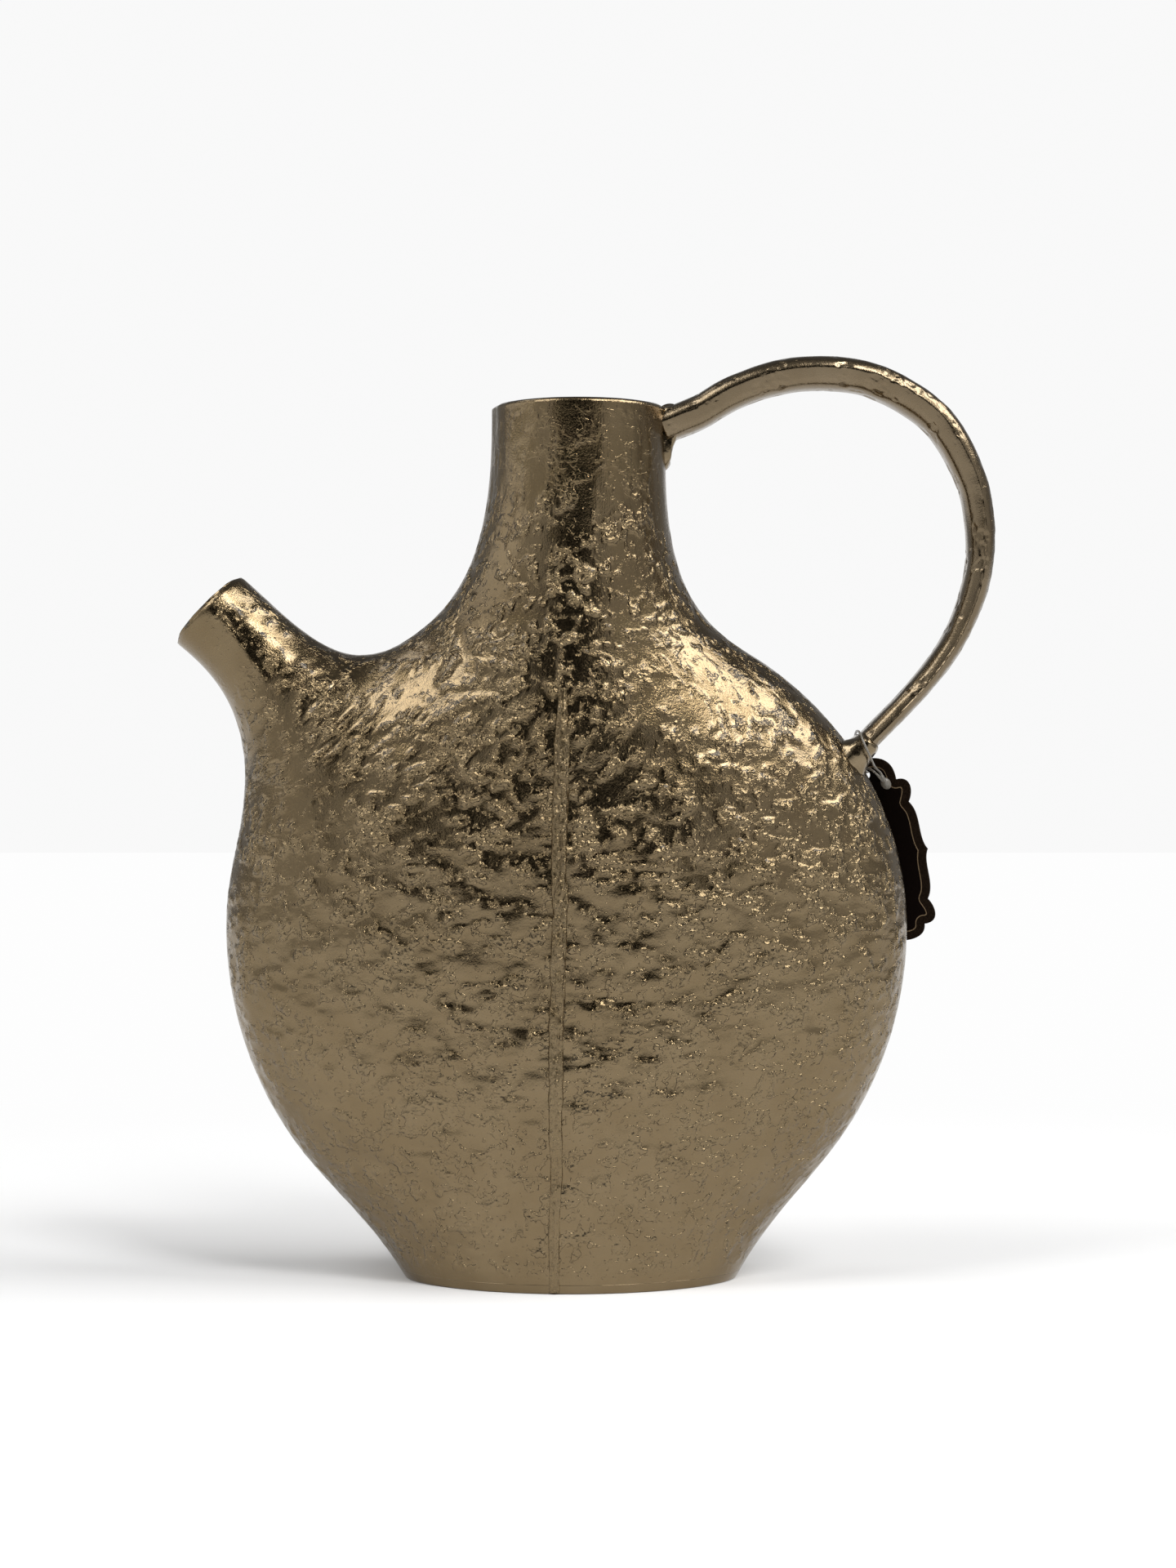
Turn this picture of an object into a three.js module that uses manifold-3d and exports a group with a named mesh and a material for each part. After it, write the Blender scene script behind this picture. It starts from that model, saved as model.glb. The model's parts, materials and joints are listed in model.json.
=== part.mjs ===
// A flattened metal jug: two cast halves joined on a side seam, a flat base plate, a cast band
// handle on a lower boss, the welds that hold the handle, and a swing tag on a plastic loop that
// goes round the handle's foot. Millimetres, +Z up.
// The origin is the centre of the underside. The spout points to -X and the handle to +X.

import * as THREE from 'three';
import { mergeVertices } from 'three/addons/utils/BufferGeometryUtils.js';
import Module from 'manifold-3d';

const wasm = await Module();
wasm.setup();

// Belly: a round, flat-sided lens, a little taller below its middle than above
const BELLY_HALF_WIDTH = 115;
const BELLY_RISE = 109.4;
const BELLY_DROP = 120;
const BELLY_X = -0.9;
const BELLY_Z = 118;
const BELLY_HALF_DEPTH = 46;

// Neck: an upright tube that melts into the shoulders, more softly on the spout's side
const NECK_RADIUS = 29.4;
const NECK_X = 3.2;
const RIM_Z = 293.6;
const NECK_BLEND = 2780;
const NECK_BLEND_SPOUT_SIDE = 3500;

// Foot: the oval column that the belly narrows to
const FOOT_HALF_WIDTH = 39.5;
const FOOT_HALF_DEPTH = 31.6;
const FOOT_X = 1.1;
const FOOT_BLEND = 4040;

// Spout: a short round tube whose axis bends gently, its mouth cut at an angle of its own
const SPOUT_RADIUS = 15.6;
const SPOUT_MOUTH = new THREE.Vector2(-122.5, 225.7);
const SPOUT_ANGLE = THREE.MathUtils.degToRad(38.6);
const SPOUT_BEND = 0.0041;
const SPOUT_CUT_ANGLE = THREE.MathUtils.degToRad(44);
const SPOUT_REACH = 60;
const SPOUT_BLEND = 2165;
const SPOUT_ROOT = new THREE.Vector2(-90, 193.5);
const SPOUT_ROOT_ANGLE = THREE.MathUtils.degToRad(41);

// Castings and plate
const WALL = 3.2;
const PLATE_THICKNESS = 3;
const SEAT_GAP = 0.3;

// Rib down the front face
const RIB_TOP_Z = 197.5;
const RIB_WIDTH = 6.6;
const RIB_HEIGHT = 1.6;
const RIB_TOP_X = -1.8;
const RIB_FOOT_X = -4.7;

// Shallow hollows that the rough mould leaves all over both faces, clear of the seam, rim and foot
const HOLLOW_DEPTH = 1;
const HOLLOW_PITCH = 26;
const HOLLOW_START = 12;
const HOLLOW_FULL = 24;
const HOLLOW_RUN_OUT = 18;

// Handle band: its loop stands above the rim and out past the belly, and thins towards its foot
const HANDLE_DEPTH = 19;
const HANDLE_THICKNESS = 9.8;
const HANDLE_FOOT_THICKNESS = 5.4;
const HANDLE_OVER_RIM = 12;
const HANDLE_OVERHANG = 25.4;
const HANDLE_UNDER_RIM = 6.6;
const HANDLE_BITE = 1.6;
const HANDLE_FOOT_Z = 180.5;
const HANDLE_FOOT_OUT = 8;

// Boss: the cast stub that carries the handle's foot
const BOSS_RADIUS = 4.6;
const BOSS_DEPTH = 10.4;
const BOSS_ROOT_IN = 10.5;
const BOSS_ROOT_DROP = 9;

// Weld metal
const BEAD_RADIUS = 4.2;
const BEAD_SHORTER = 3;
const GUSSET_DROP = 10;
const GUSSET_REACH = 11;
const GUSSET_THICKNESS = 11;

// Swing tag: a card that lies along the belly's back, and its thread with a lock head
const TAG_HALF_WIDTH = 16.8;
const TAG_TOP = 34;
const TAG_BOTTOM = 29.8;
const TAG_THICKNESS = 0.8;
const TAG_HOLE_RADIUS = 1.5;
const TAG_HOLE_HEIGHT = 28.6;
const TAG_ROLL = THREE.MathUtils.degToRad(9);
const TAG_TURN = THREE.MathUtils.degToRad(26.5);
const TAG_LEAN = THREE.MathUtils.degToRad(7.6);
const TAG_CLEARANCE = 1.8;
const TAG_PIVOT_OUT = 0.6;
const TAG_PIVOT_DROP = 10.2;
const THREAD_RADIUS = 0.4;
const THREAD_PAST_BOSS = 1.6;
const LOCK_RADIUS = 1.5;
const LOCK_LENGTH = 5;

// Mesh steps
const ROWS_BELOW_SPOUT = 12;
const ROWS_AT_SPOUT = 4;
const ROWS_ABOVE_SPOUT = 7;
const COLUMNS = 20;
const SPOUT_STEPS = 3;
const OUTER_FINENESS = 2;
const FINE_STEPS = 64;
const SEAM_TOLERANCE = 0.01;
const THREAD_STEPS = 60;
const THREAD_SIDES = 6;
const BAND_STEPS = 34;

const castFinish = { color: 0x8a7448, roughness: 0.38, metalness: 1 };
const baseFinish = { color: 0x7a6640, roughness: 0.45, metalness: 1 };
const bandFinish = { color: 0x82705a, roughness: 0.42, metalness: 1 };
const tagFinish = { color: 0x120b08, roughness: 0.55, metalness: 0 };
const threadFinish = { color: 0xc9c6bd, roughness: 0.4, metalness: 0 };
const weldFinish = { color: 0xb09a72, roughness: 0.35, metalness: 1 };

// Blend of two squared depths that rounds the inner corner between them
function blend(a, b, softness) {
  const h = Math.max(softness - Math.abs(a - b), 0) / softness;
  return Math.max(a, b) + (h ** 3) * softness / 6;
}

// Squared half depth of the jug above a point of the side seam plane, with its skin moved in by inset
function squaredDepth(x, z, inset) {
  const rise = (z > BELLY_Z ? BELLY_RISE : BELLY_DROP) - inset;
  const across = (x - BELLY_X) / (BELLY_HALF_WIDTH - inset);
  const up = (z - BELLY_Z) / rise;
  const belly = (BELLY_HALF_DEPTH - inset) ** 2 * (1 - across ** 2 - up ** 2);
  const intoBelly = Math.max(BELLY_Z + BELLY_RISE * 0.68 - z, 0);
  const neck = (NECK_RADIUS - inset) ** 2 - (x - NECK_X) ** 2 - intoBelly ** 2;
  const foot = (FOOT_HALF_DEPTH - inset) ** 2 * (1 - ((x - FOOT_X) / (FOOT_HALF_WIDTH - inset)) ** 2)
    - Math.max(z - BELLY_Z / 2, 0) ** 2;
  const dx = x - SPOUT_MOUTH.x;
  const dz = z - SPOUT_MOUTH.y;
  const along = dx * Math.cos(SPOUT_ANGLE) - dz * Math.sin(SPOUT_ANGLE);
  const off = dx * Math.sin(SPOUT_ANGLE) + dz * Math.cos(SPOUT_ANGLE) + SPOUT_BEND * along ** 2;
  const spout = (SPOUT_RADIUS - inset) ** 2 - off ** 2 - Math.max(along - SPOUT_REACH, 0) ** 2;
  const spoutSide = THREE.MathUtils.smoothstep(NECK_X - x, -NECK_RADIUS, NECK_RADIUS);
  const neckBlend = THREE.MathUtils.lerp(NECK_BLEND, NECK_BLEND_SPOUT_SIDE, spoutSide);
  return blend(blend(blend(belly, neck, neckBlend), foot, FOOT_BLEND), spout, SPOUT_BLEND);
}

// Point where the depth falls to nothing between an inner and an outer point of the seam plane
function seamPoint(inner, outer, inset) {
  let low = 0;
  let high = 1;
  for (let step = 0; step < 40; step++) {
    const mid = (low + high) / 2;
    const x = inner.x + (outer.x - inner.x) * mid;
    const z = inner.y + (outer.y - inner.y) * mid;
    if (squaredDepth(x, z, inset) > 0) low = mid;
    else high = mid;
  }
  return inner.clone().lerp(outer, low);
}

// Front face's y over a point of the seam plane, exactly 0 on the seam
function frontY(x, z, inset) {
  const depth = Math.sqrt(Math.max(squaredDepth(x, z, inset), 0));
  return depth < SEAM_TOLERANCE ? 0 : -depth;
}

// Evenly spaced points of the front skin above the straight line from a to b
function skinRow(a, b, count, inset) {
  const fine = [];
  for (let k = 0; k <= FINE_STEPS; k++) {
    const share = (1 - Math.cos(Math.PI * k / FINE_STEPS)) / 2;
    const p = a.clone().lerp(b, share);
    fine.push(new THREE.Vector3(p.x, frontY(p.x, p.y, inset), p.y));
  }
  const run = [0];
  for (let k = 1; k <= FINE_STEPS; k++) run.push(run[k - 1] + fine[k].distanceTo(fine[k - 1]));
  const row = [];
  let k = 0;
  for (let j = 0; j <= count; j++) {
    const goal = run[FINE_STEPS] * j / count;
    while (k < FINE_STEPS - 1 && run[k + 1] < goal) k++;
    const share = (goal - run[k]) / (run[k + 1] - run[k]);
    const p = fine[k].clone().lerp(fine[k + 1], share);
    p.y = frontY(p.x, p.z, inset);
    row.push(p);
  }
  return row;
}

const direction = (angle) => new THREE.Vector2(Math.sin(angle), Math.cos(angle));

// Cross lines of the spout, from its mouth to its root, each from its lower to its upper edge
function spoutRows(inset, fineness) {
  const rows = [];
  const steps = SPOUT_STEPS * fineness;
  for (let s = 0; s <= steps; s++) {
    const share = s / steps;
    const centre = SPOUT_MOUTH.clone().lerp(SPOUT_ROOT, share);
    const side = direction(THREE.MathUtils.lerp(SPOUT_CUT_ANGLE, SPOUT_ROOT_ANGLE, share));
    const span = SPOUT_RADIUS * (1.3 + 1.2 * share);
    const lower = seamPoint(centre, centre.clone().addScaledVector(side, -span), inset);
    const upper = seamPoint(centre, centre.clone().addScaledVector(side, span), inset);
    rows.push(skinRow(lower, upper, ROWS_AT_SPOUT * fineness, inset));
  }
  return rows;
}

// Front skin of the jug: level rows from the foot to the rim, and the spout rows that join them
function skin(inset, floorZ, topZ, fineness) {
  const spout = spoutRows(inset, fineness);
  const root = spout[spout.length - 1];
  const below = ROWS_BELOW_SPOUT * fineness;
  const atSpout = ROWS_AT_SPOUT * fineness;
  const above = ROWS_ABOVE_SPOUT * fineness;
  const columns = COLUMNS * fineness;
  const rootLow = root[0];
  const rootHigh = root[atSpout];
  const reach = BELLY_HALF_WIDTH * 1.5;
  const middle = (z) => new THREE.Vector2(NECK_X, z);
  const right = (z) => seamPoint(middle(z), new THREE.Vector2(reach, z), inset);
  const rows = [];
  for (let i = 0; i < below; i++) {
    const z = THREE.MathUtils.lerp(floorZ, rootLow.z, i / below);
    const left = seamPoint(middle(z), new THREE.Vector2(-reach, z), inset);
    rows.push(skinRow(left, right(z), columns, inset));
  }
  for (let i = 0; i <= atSpout; i++) {
    const z = THREE.MathUtils.lerp(rootLow.z, rootHigh.z, i / atSpout);
    const left = new THREE.Vector2(root[i].x, root[i].z);
    const row = skinRow(left, right(z), columns, inset);
    row[0] = root[i];
    rows.push(row);
  }
  for (let i = 1; i <= above; i++) {
    const z = THREE.MathUtils.lerp(rootHigh.z, topZ, i / above);
    const left = seamPoint(middle(z), new THREE.Vector2(rootHigh.x, z), inset);
    rows.push(skinRow(left, right(z), columns, inset));
  }
  return { rows, spout, below };
}

// How far the hollows draw the front face in over a point of the seam plane; turn shifts their pattern
function hollowDepth({ x, y, z }, turn) {
  const cycle = 2 * Math.PI / HOLLOW_PITCH;
  const across = Math.sin(cycle * x + 1.2 * Math.sin(cycle * z / 1.7 + turn));
  const up = Math.sin(cycle * z / 0.8 + 1.2 * Math.sin(cycle * x / 1.5 - turn));
  const fade = THREE.MathUtils.smoothstep(-y, HOLLOW_START, HOLLOW_FULL)
    * THREE.MathUtils.smoothstep(z, PLATE_THICKNESS, PLATE_THICKNESS + HOLLOW_RUN_OUT)
    * THREE.MathUtils.smoothstep(RIM_Z - z, 0, HOLLOW_RUN_OUT);
  return HOLLOW_DEPTH * fade * (1 + across * up) / 2;
}

// A front skin with the hollows in it
function hollowed({ rows, spout, below }, turn) {
  const sunk = (p) => p.clone().setY(p.y + hollowDepth(p, turn));
  return { rows: rows.map((row) => row.map(sunk)), spout: spout.map((row) => row.map(sunk)), below };
}

// The closed edge of a skin: foot, right seam, rim, left seam down to the valley, spout, left seam
function skinEdge({ rows, spout, below }) {
  const last = rows.length - 1;
  const columns = rows[0].length - 1;
  const root = spout.length - 1;
  const atSpout = spout[0].length - 1;
  const edge = [];
  for (let j = 0; j < columns; j++) edge.push(rows[0][j]);
  for (let i = 0; i < last; i++) edge.push(rows[i][columns]);
  for (let j = columns; j > 0; j--) edge.push(rows[last][j]);
  for (let i = last; i > below + atSpout; i--) edge.push(rows[i][0]);
  for (let s = root; s > 0; s--) edge.push(spout[s][atSpout]);
  for (let v = atSpout; v > 0; v--) edge.push(spout[0][v]);
  for (let s = 0; s < root; s++) edge.push(spout[s][0]);
  for (let i = below; i > 0; i--) edge.push(rows[i][0]);
  return edge;
}

// Triangle list that turns quads into a BufferGeometry with shared vertices
class Skin {
  constructor() {
    this.corners = [];
  }

  triangle(a, b, c) {
    if (a.distanceTo(b) < 1e-4 || b.distanceTo(c) < 1e-4 || c.distanceTo(a) < 1e-4) return;
    this.corners.push(a, b, c);
  }

  quad(a, b, c, d) {
    this.triangle(a, b, c);
    this.triangle(a, c, d);
  }

  grid(rows) {
    for (let i = 0; i < rows.length - 1; i++) {
      for (let j = 0; j < rows[i].length - 1; j++) {
        this.quad(rows[i][j], rows[i][j + 1], rows[i + 1][j + 1], rows[i + 1][j]);
      }
    }
  }

  geometry() {
    const geometry = new THREE.BufferGeometry().setFromPoints(this.corners);
    return mergeVertices(geometry, 1e-4);
  }
}

const reversed = (rows) => rows.map((row) => [...row].reverse());
// The spout's rows run across it, so they are turned to run along it before they are meshed
const turned = (rows) => rows[0].map((_, v) => rows.map((row) => row[v]));

// Front half of the jug's wall between an outer and an inner skin; the outer one may be finer
function halfWall(outer, inner) {
  const mesh = new Skin();
  mesh.grid(outer.rows);
  mesh.grid(turned(outer.spout));
  mesh.grid(reversed(inner.rows));
  mesh.grid(reversed(turned(inner.spout)));
  const outside = skinEdge(outer);
  const inside = skinEdge(inner);
  const finer = outside.length / inside.length;
  const middle = Math.floor(finer / 2);
  inside.forEach((point, k) => {
    const next = inside[(k + 1) % inside.length];
    mesh.triangle(outside[k * finer + middle], point, next);
    for (let j = 0; j < finer; j++) {
      const at = k * finer + j;
      mesh.triangle(outside[(at + 1) % outside.length], outside[at], j < middle ? point : next);
    }
  });
  return mesh.geometry();
}

// The same skin pressed flat on the seam plane, to close a half into a solid
const flattened = (rows) => rows.map((row) => row.map((p) => new THREE.Vector3(p.x, 0, p.z)));
const closedHalf = (outer) => halfWall(outer, {
  rows: flattened(outer.rows),
  spout: flattened(outer.spout),
  below: outer.below,
});

// A mirror image across the seam plane
function mirrored(geometry) {
  const copy = geometry.clone();
  copy.scale(1, -1, 1);
  const index = copy.index.array;
  for (let k = 0; k < index.length; k += 3) [index[k], index[k + 1]] = [index[k + 1], index[k]];
  return copy;
}

// A body through closed rings of points, with flat ends
function loft(rings) {
  const mesh = new Skin();
  const last = rings.length - 1;
  const closed = rings.map((ring) => [...ring, ring[0]]);
  mesh.grid(closed);
  const middle = (ring) => ring.reduce((sum, p) => sum.add(p), new THREE.Vector3()).divideScalar(ring.length);
  for (const [ring, flip] of [[rings[0], true], [rings[last], false]]) {
    const centre = middle(ring);
    ring.forEach((p, k) => {
      const q = ring[(k + 1) % ring.length];
      if (flip) mesh.triangle(centre, q, p);
      else mesh.triangle(centre, p, q);
    });
  }
  return mesh.geometry();
}

function toSolid(geometry) {
  const bare = geometry.clone();
  bare.deleteAttribute('normal');
  bare.deleteAttribute('uv');
  const merged = mergeVertices(bare, 1e-4);
  return new wasm.Manifold(new wasm.Mesh({
    numProp: 3,
    vertProperties: new Float32Array(merged.attributes.position.array),
    triVerts: new Uint32Array(merged.index.array),
  }));
}

function toGeometry(solid) {
  const { vertProperties, triVerts } = solid.getMesh();
  const geometry = new THREE.BufferGeometry();
  geometry.setAttribute('position', new THREE.BufferAttribute(new Float32Array(vertProperties), 3));
  geometry.setIndex(new THREE.BufferAttribute(new Uint32Array(triVerts), 1));
  return geometry;
}

// Rib: a tapered strip that follows the front face, sunk half a wall into it
function ribGeometry() {
  const rings = [];
  const steps = 14;
  for (let k = 0; k <= steps; k++) {
    const z = THREE.MathUtils.lerp(PLATE_THICKNESS, RIB_TOP_Z, k / steps);
    const x = THREE.MathUtils.lerp(RIB_FOOT_X, RIB_TOP_X, k / steps);
    const face = Math.sqrt(squaredDepth(x, z, 0));
    const under = face - WALL / 2;
    const crest = face + RIB_HEIGHT;
    rings.push([
      new THREE.Vector3(x - RIB_WIDTH / 2, -under, z),
      new THREE.Vector3(x - RIB_WIDTH / 3, -crest, z),
      new THREE.Vector3(x + RIB_WIDTH / 3, -crest, z),
      new THREE.Vector3(x + RIB_WIDTH / 2, -under, z),
    ]);
  }
  return loft(rings);
}

// Point of the right side seam at a height
function shoulder(z) {
  return seamPoint(new THREE.Vector2(NECK_X, z), new THREE.Vector2(BELLY_HALF_WIDTH * 1.5, z), 0);
}

// Handle's centre line: from the neck over the top of the loop, round its far side and down to the foot
function handleRoute() {
  const start = new THREE.Vector2(NECK_X + NECK_RADIUS - HANDLE_BITE, RIM_Z - HANDLE_UNDER_RIM);
  const foot = new THREE.Vector2(shoulder(HANDLE_FOOT_Z).x + HANDLE_FOOT_OUT, HANDLE_FOOT_Z);
  const far = new THREE.Vector2(BELLY_X + BELLY_HALF_WIDTH + HANDLE_OVERHANG, RIM_Z + HANDLE_OVER_RIM);
  const overTop = [[0, 0], [0.12, 0.3], [0.22, 0.63], [0.37, 0.93], [0.5, 1], [0.66, 0.86], [0.857, 0.17]];
  const downFar = [[0.92, 0.83], [0.99, 0.71], [1, 0.6], [0.95, 0.485], [0.76, 0.32], [0.48, 0.18], [0, 0]];
  const points = [
    ...overTop.map(([across, up]) => [
      THREE.MathUtils.lerp(start.x, far.x, across), THREE.MathUtils.lerp(start.y, far.y, up)]),
    ...downFar.map(([across, up]) => [
      THREE.MathUtils.lerp(foot.x, far.x, across), THREE.MathUtils.lerp(foot.y, start.y, up)]),
  ];
  return new THREE.CatmullRomCurve3(points.map(([x, z]) => new THREE.Vector3(x, 0, z)));
}

// Half of the band's section, as shares of its half depth and half thickness, from the crown of its
// outside over the edge line to the middle of its inside
const bandSection = [
  [0, 1], [0.32, 0.97], [0.6, 0.85], [0.82, 0.6], [0.95, 0.34], [1, 0.08],
  [0.93, -0.3], [0.83, -0.68], [0.7, -0.93], [0.5, -1], [0, -0.97],
];

// Band swept along a route in the seam plane: crowned outside, slanted inside, thinner towards its foot
function band(route, extra) {
  const rings = [];
  const section = [...bandSection, ...bandSection.slice(1, -1).reverse().map(([deep, out]) => [-deep, out])];
  for (let i = 0; i <= BAND_STEPS; i++) {
    const share = i / BAND_STEPS;
    const centre = route.getPointAt(share);
    const ahead = route.getTangentAt(share);
    const outward = new THREE.Vector3(-ahead.z, 0, ahead.x);
    const thin = THREE.MathUtils.smoothstep(share, 0.35, 0.95);
    const half = THREE.MathUtils.lerp(HANDLE_THICKNESS, HANDLE_FOOT_THICKNESS, thin) / 2 + extra;
    rings.push(section.map(([deep, out]) => {
      const p = centre.clone().addScaledVector(outward, half * out);
      return p.setY(-(HANDLE_DEPTH / 2 + extra) * deep);
    }));
  }
  return loft(rings);
}

// Closed outline of the outer skin at a height, front half then back half
function levelOutline(z) {
  const middle = new THREE.Vector2(NECK_X, z);
  const reach = BELLY_HALF_WIDTH * 1.5;
  const left = seamPoint(middle, new THREE.Vector2(-reach, z), 0);
  const right = seamPoint(middle, new THREE.Vector2(reach, z), 0);
  const front = skinRow(left, right, COLUMNS * OUTER_FINENESS, 0);
  const back = front.slice(1, -1).reverse().map((p) => new THREE.Vector3(p.x, -p.y, p.z));
  return [...front, ...back].map((p) => p.setZ(z));
}

// Oval plate under both halves, with the foot's own outline
const basePlate = () => loft([levelOutline(0), levelOutline(PLATE_THICKNESS)]);

// Boss: an oval stub that flares into the shoulder and rounds off past the handle's foot
function bossGeometry(foot) {
  const along = new THREE.Vector3(BOSS_ROOT_IN, 0, BOSS_ROOT_DROP);
  const root = foot.clone().sub(along);
  const length = along.length() + BOSS_RADIUS * 0.7;
  along.normalize();
  const up = new THREE.Vector3(-along.z, 0, along.x);
  const sides = 20;
  const flare = [[0, 2.7], [0.22, 2], [0.42, 1.45], [0.62, 1.14], [0.8, 1], [0.92, 0.86], [1, 0.45]];
  return loft(flare.map(([share, swell]) => {
    const ring = [];
    for (let k = 0; k < sides; k++) {
      const turn = Math.PI * 2 * k / sides;
      const p = root.clone().addScaledVector(along, length * share);
      p.addScaledVector(up, BOSS_RADIUS * swell * Math.sin(turn));
      p.y = BOSS_DEPTH * Math.min(swell, 1) * Math.cos(turn);
      ring.push(p);
    }
    return ring;
  }));
}

// Gusset: the web of weld metal in the corner of the neck's side and the handle's underside
function gussetGeometry({ x, z }) {
  const under = z - HANDLE_THICKNESS / 2;
  const outline = new THREE.Shape();
  outline.moveTo(x - WALL, z);
  outline.lineTo(x + GUSSET_REACH, z + HANDLE_THICKNESS / 2);
  outline.lineTo(x + GUSSET_REACH, under + HANDLE_THICKNESS / 3);
  outline.quadraticCurveTo(x + GUSSET_REACH / 3, under + 1, x + 1.1 * WALL, under - GUSSET_DROP);
  outline.lineTo(x - WALL, under - GUSSET_DROP);
  outline.closePath();
  const pressing = { depth: GUSSET_THICKNESS, bevelEnabled: false, curveSegments: 6 };
  const web = new THREE.ExtrudeGeometry(outline, pressing);
  web.translate(0, 0, -GUSSET_THICKNESS / 2);
  web.rotateX(Math.PI / 2);
  return web;
}

// Bead: the run of weld across the top of the handle's upper end, against the rim
function beadGeometry() {
  const length = HANDLE_DEPTH - BEAD_SHORTER;
  const bead = new THREE.CapsuleGeometry(BEAD_RADIUS, length - 2 * BEAD_RADIUS, 4, 12);
  bead.translate(NECK_X + NECK_RADIUS + BEAD_RADIUS / 2, 0, RIM_Z - BEAD_RADIUS / 2);
  return bead;
}

// The direction out of the tag's front face
const tagTurn = new THREE.Euler(Math.PI / 2 + TAG_LEAN, 0, -TAG_TURN, 'ZXY');
const tagNormal = new THREE.Vector3(0, 0, 1).applyEuler(tagTurn);

// The point of the thread that the tag swings on, in a plane that stands the clearance off the belly's back
function tagPivot(foot) {
  const size = new THREE.Vector3(BELLY_HALF_WIDTH, BELLY_HALF_DEPTH, BELLY_RISE);
  const reach = tagNormal.clone().multiply(size).length() + TAG_CLEARANCE;
  const pivot = new THREE.Vector3(foot.x + TAG_PIVOT_OUT, 0, foot.z - TAG_PIVOT_DROP);
  const offset = pivot.clone().sub(new THREE.Vector3(BELLY_X, 0, BELLY_Z));
  pivot.y = -(reach + offset.dot(tagNormal)) / tagNormal.y;
  return pivot;
}

// One curve of an outline list, taken from its end back to the end of the one before
function backwards(edge, k) {
  const [a, b] = edge[k];
  const end = k > 0 ? edge[k - 1][2] : [0, TAG_TOP];
  return [b, a, end];
}

// Tag: a bracket-edged card, drawn about its own centre; its hole's upper edge hangs on the thread
function tagGeometry(pivot) {
  const w = TAG_HALF_WIDTH;
  const cusp = [0.615 * w, 0.745 * TAG_TOP];
  const waist = [0.79 * w, 0.5 * TAG_TOP];
  const outline = new THREE.Shape();
  outline.moveTo(0, TAG_TOP);
  for (const s of [1, -1]) {
    const edge = [
      [[0.4 * w, 1.01 * TAG_TOP], [0.63 * w, 0.93 * TAG_TOP], cusp],
      [[0.95 * w, 0.76 * TAG_TOP], [0.94 * w, 0.6 * TAG_TOP], waist],
      [[1.02 * w, 0.36 * TAG_TOP], [0.82 * w, 0.13 * TAG_TOP], [w, 0]],
      [[0.82 * w, -0.13 * TAG_TOP], [1.02 * w, -0.36 * TAG_TOP], [waist[0], -waist[1]]],
      [[0.94 * w, -0.6 * TAG_TOP], [0.95 * w, -0.76 * TAG_TOP], [cusp[0], -cusp[1]]],
      [[0.6 * w, -TAG_BOTTOM], [0.3 * w, -1.03 * TAG_BOTTOM], [0, -TAG_BOTTOM]],
    ];
    const run = s > 0 ? edge : edge.map((_, k) => backwards(edge, edge.length - 1 - k));
    for (const [a, b, end] of run) {
      outline.bezierCurveTo(s * a[0], a[1], s * b[0], b[1], s * end[0], end[1]);
    }
  }
  const slack = TAG_HOLE_RADIUS - THREAD_RADIUS - SEAT_GAP;
  const pressing = { depth: TAG_THICKNESS, bevelEnabled: false, curveSegments: 5 };
  const card = new THREE.ExtrudeGeometry(outline, pressing);
  card.translate(0, -TAG_HOLE_HEIGHT - slack, -TAG_THICKNESS / 2);
  const eye = new THREE.CylinderGeometry(TAG_HOLE_RADIUS, TAG_HOLE_RADIUS, 2 * TAG_THICKNESS, 16);
  eye.rotateX(Math.PI / 2);
  eye.translate(0, -slack, 0);
  const punched = toGeometry(toSolid(card).subtract(toSolid(eye)));
  punched.rotateZ(TAG_ROLL);
  punched.rotateX(Math.PI / 2 + TAG_LEAN);
  punched.rotateZ(-TAG_TURN);
  punched.translate(pivot.x, pivot.y, pivot.z);
  return punched;
}

// The thread's route about the handle's foot: from the lock head over the boss, down its back,
// through the tag's hole from behind, and up beside itself to the lock head again
function threadRoute(foot, pivot) {
  const loop = BOSS_DEPTH + THREAD_PAST_BOSS;
  const placed = (anchor, share) => new THREE.Vector3(...share).multiplyScalar(loop).add(anchor);
  const from = (anchor, shares) => shares.map((share) => placed(anchor, share));
  const throughHole = (share) => tagNormal.clone().multiplyScalar(share).toArray();
  return [
    ...from(pivot, [[0.53, -0.51, -0.27], [0.35, -0.81, -0.03]]),
    ...from(foot, [[0.24, 0.22, -0.77], [0.075, -0.53, -0.65], [-0.1, -0.97, -0.35], [-0.24, -0.975, -0.05]]),
    ...from(foot, [[-0.32, -0.7, 0.22], [-0.34, 0, 0.31], [-0.325, 0.72, 0.22], [-0.27, 1.21, 0.04]]),
    ...from(pivot, [[-0.08, 0.2, 0.55], [0.11, 0.35, 0.17], throughHole(-0.2), [0, 0, 0], throughHole(0.2)]),
    ...from(pivot, [[-0.175, -0.565, 0.08], [-0.02, -0.965, 0.11], [0.17, -1.08, -0.02]]),
    ...from(pivot, [[0.325, -0.765, -0.17], [0.49, -0.5, -0.33]]),
  ];
}

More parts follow.
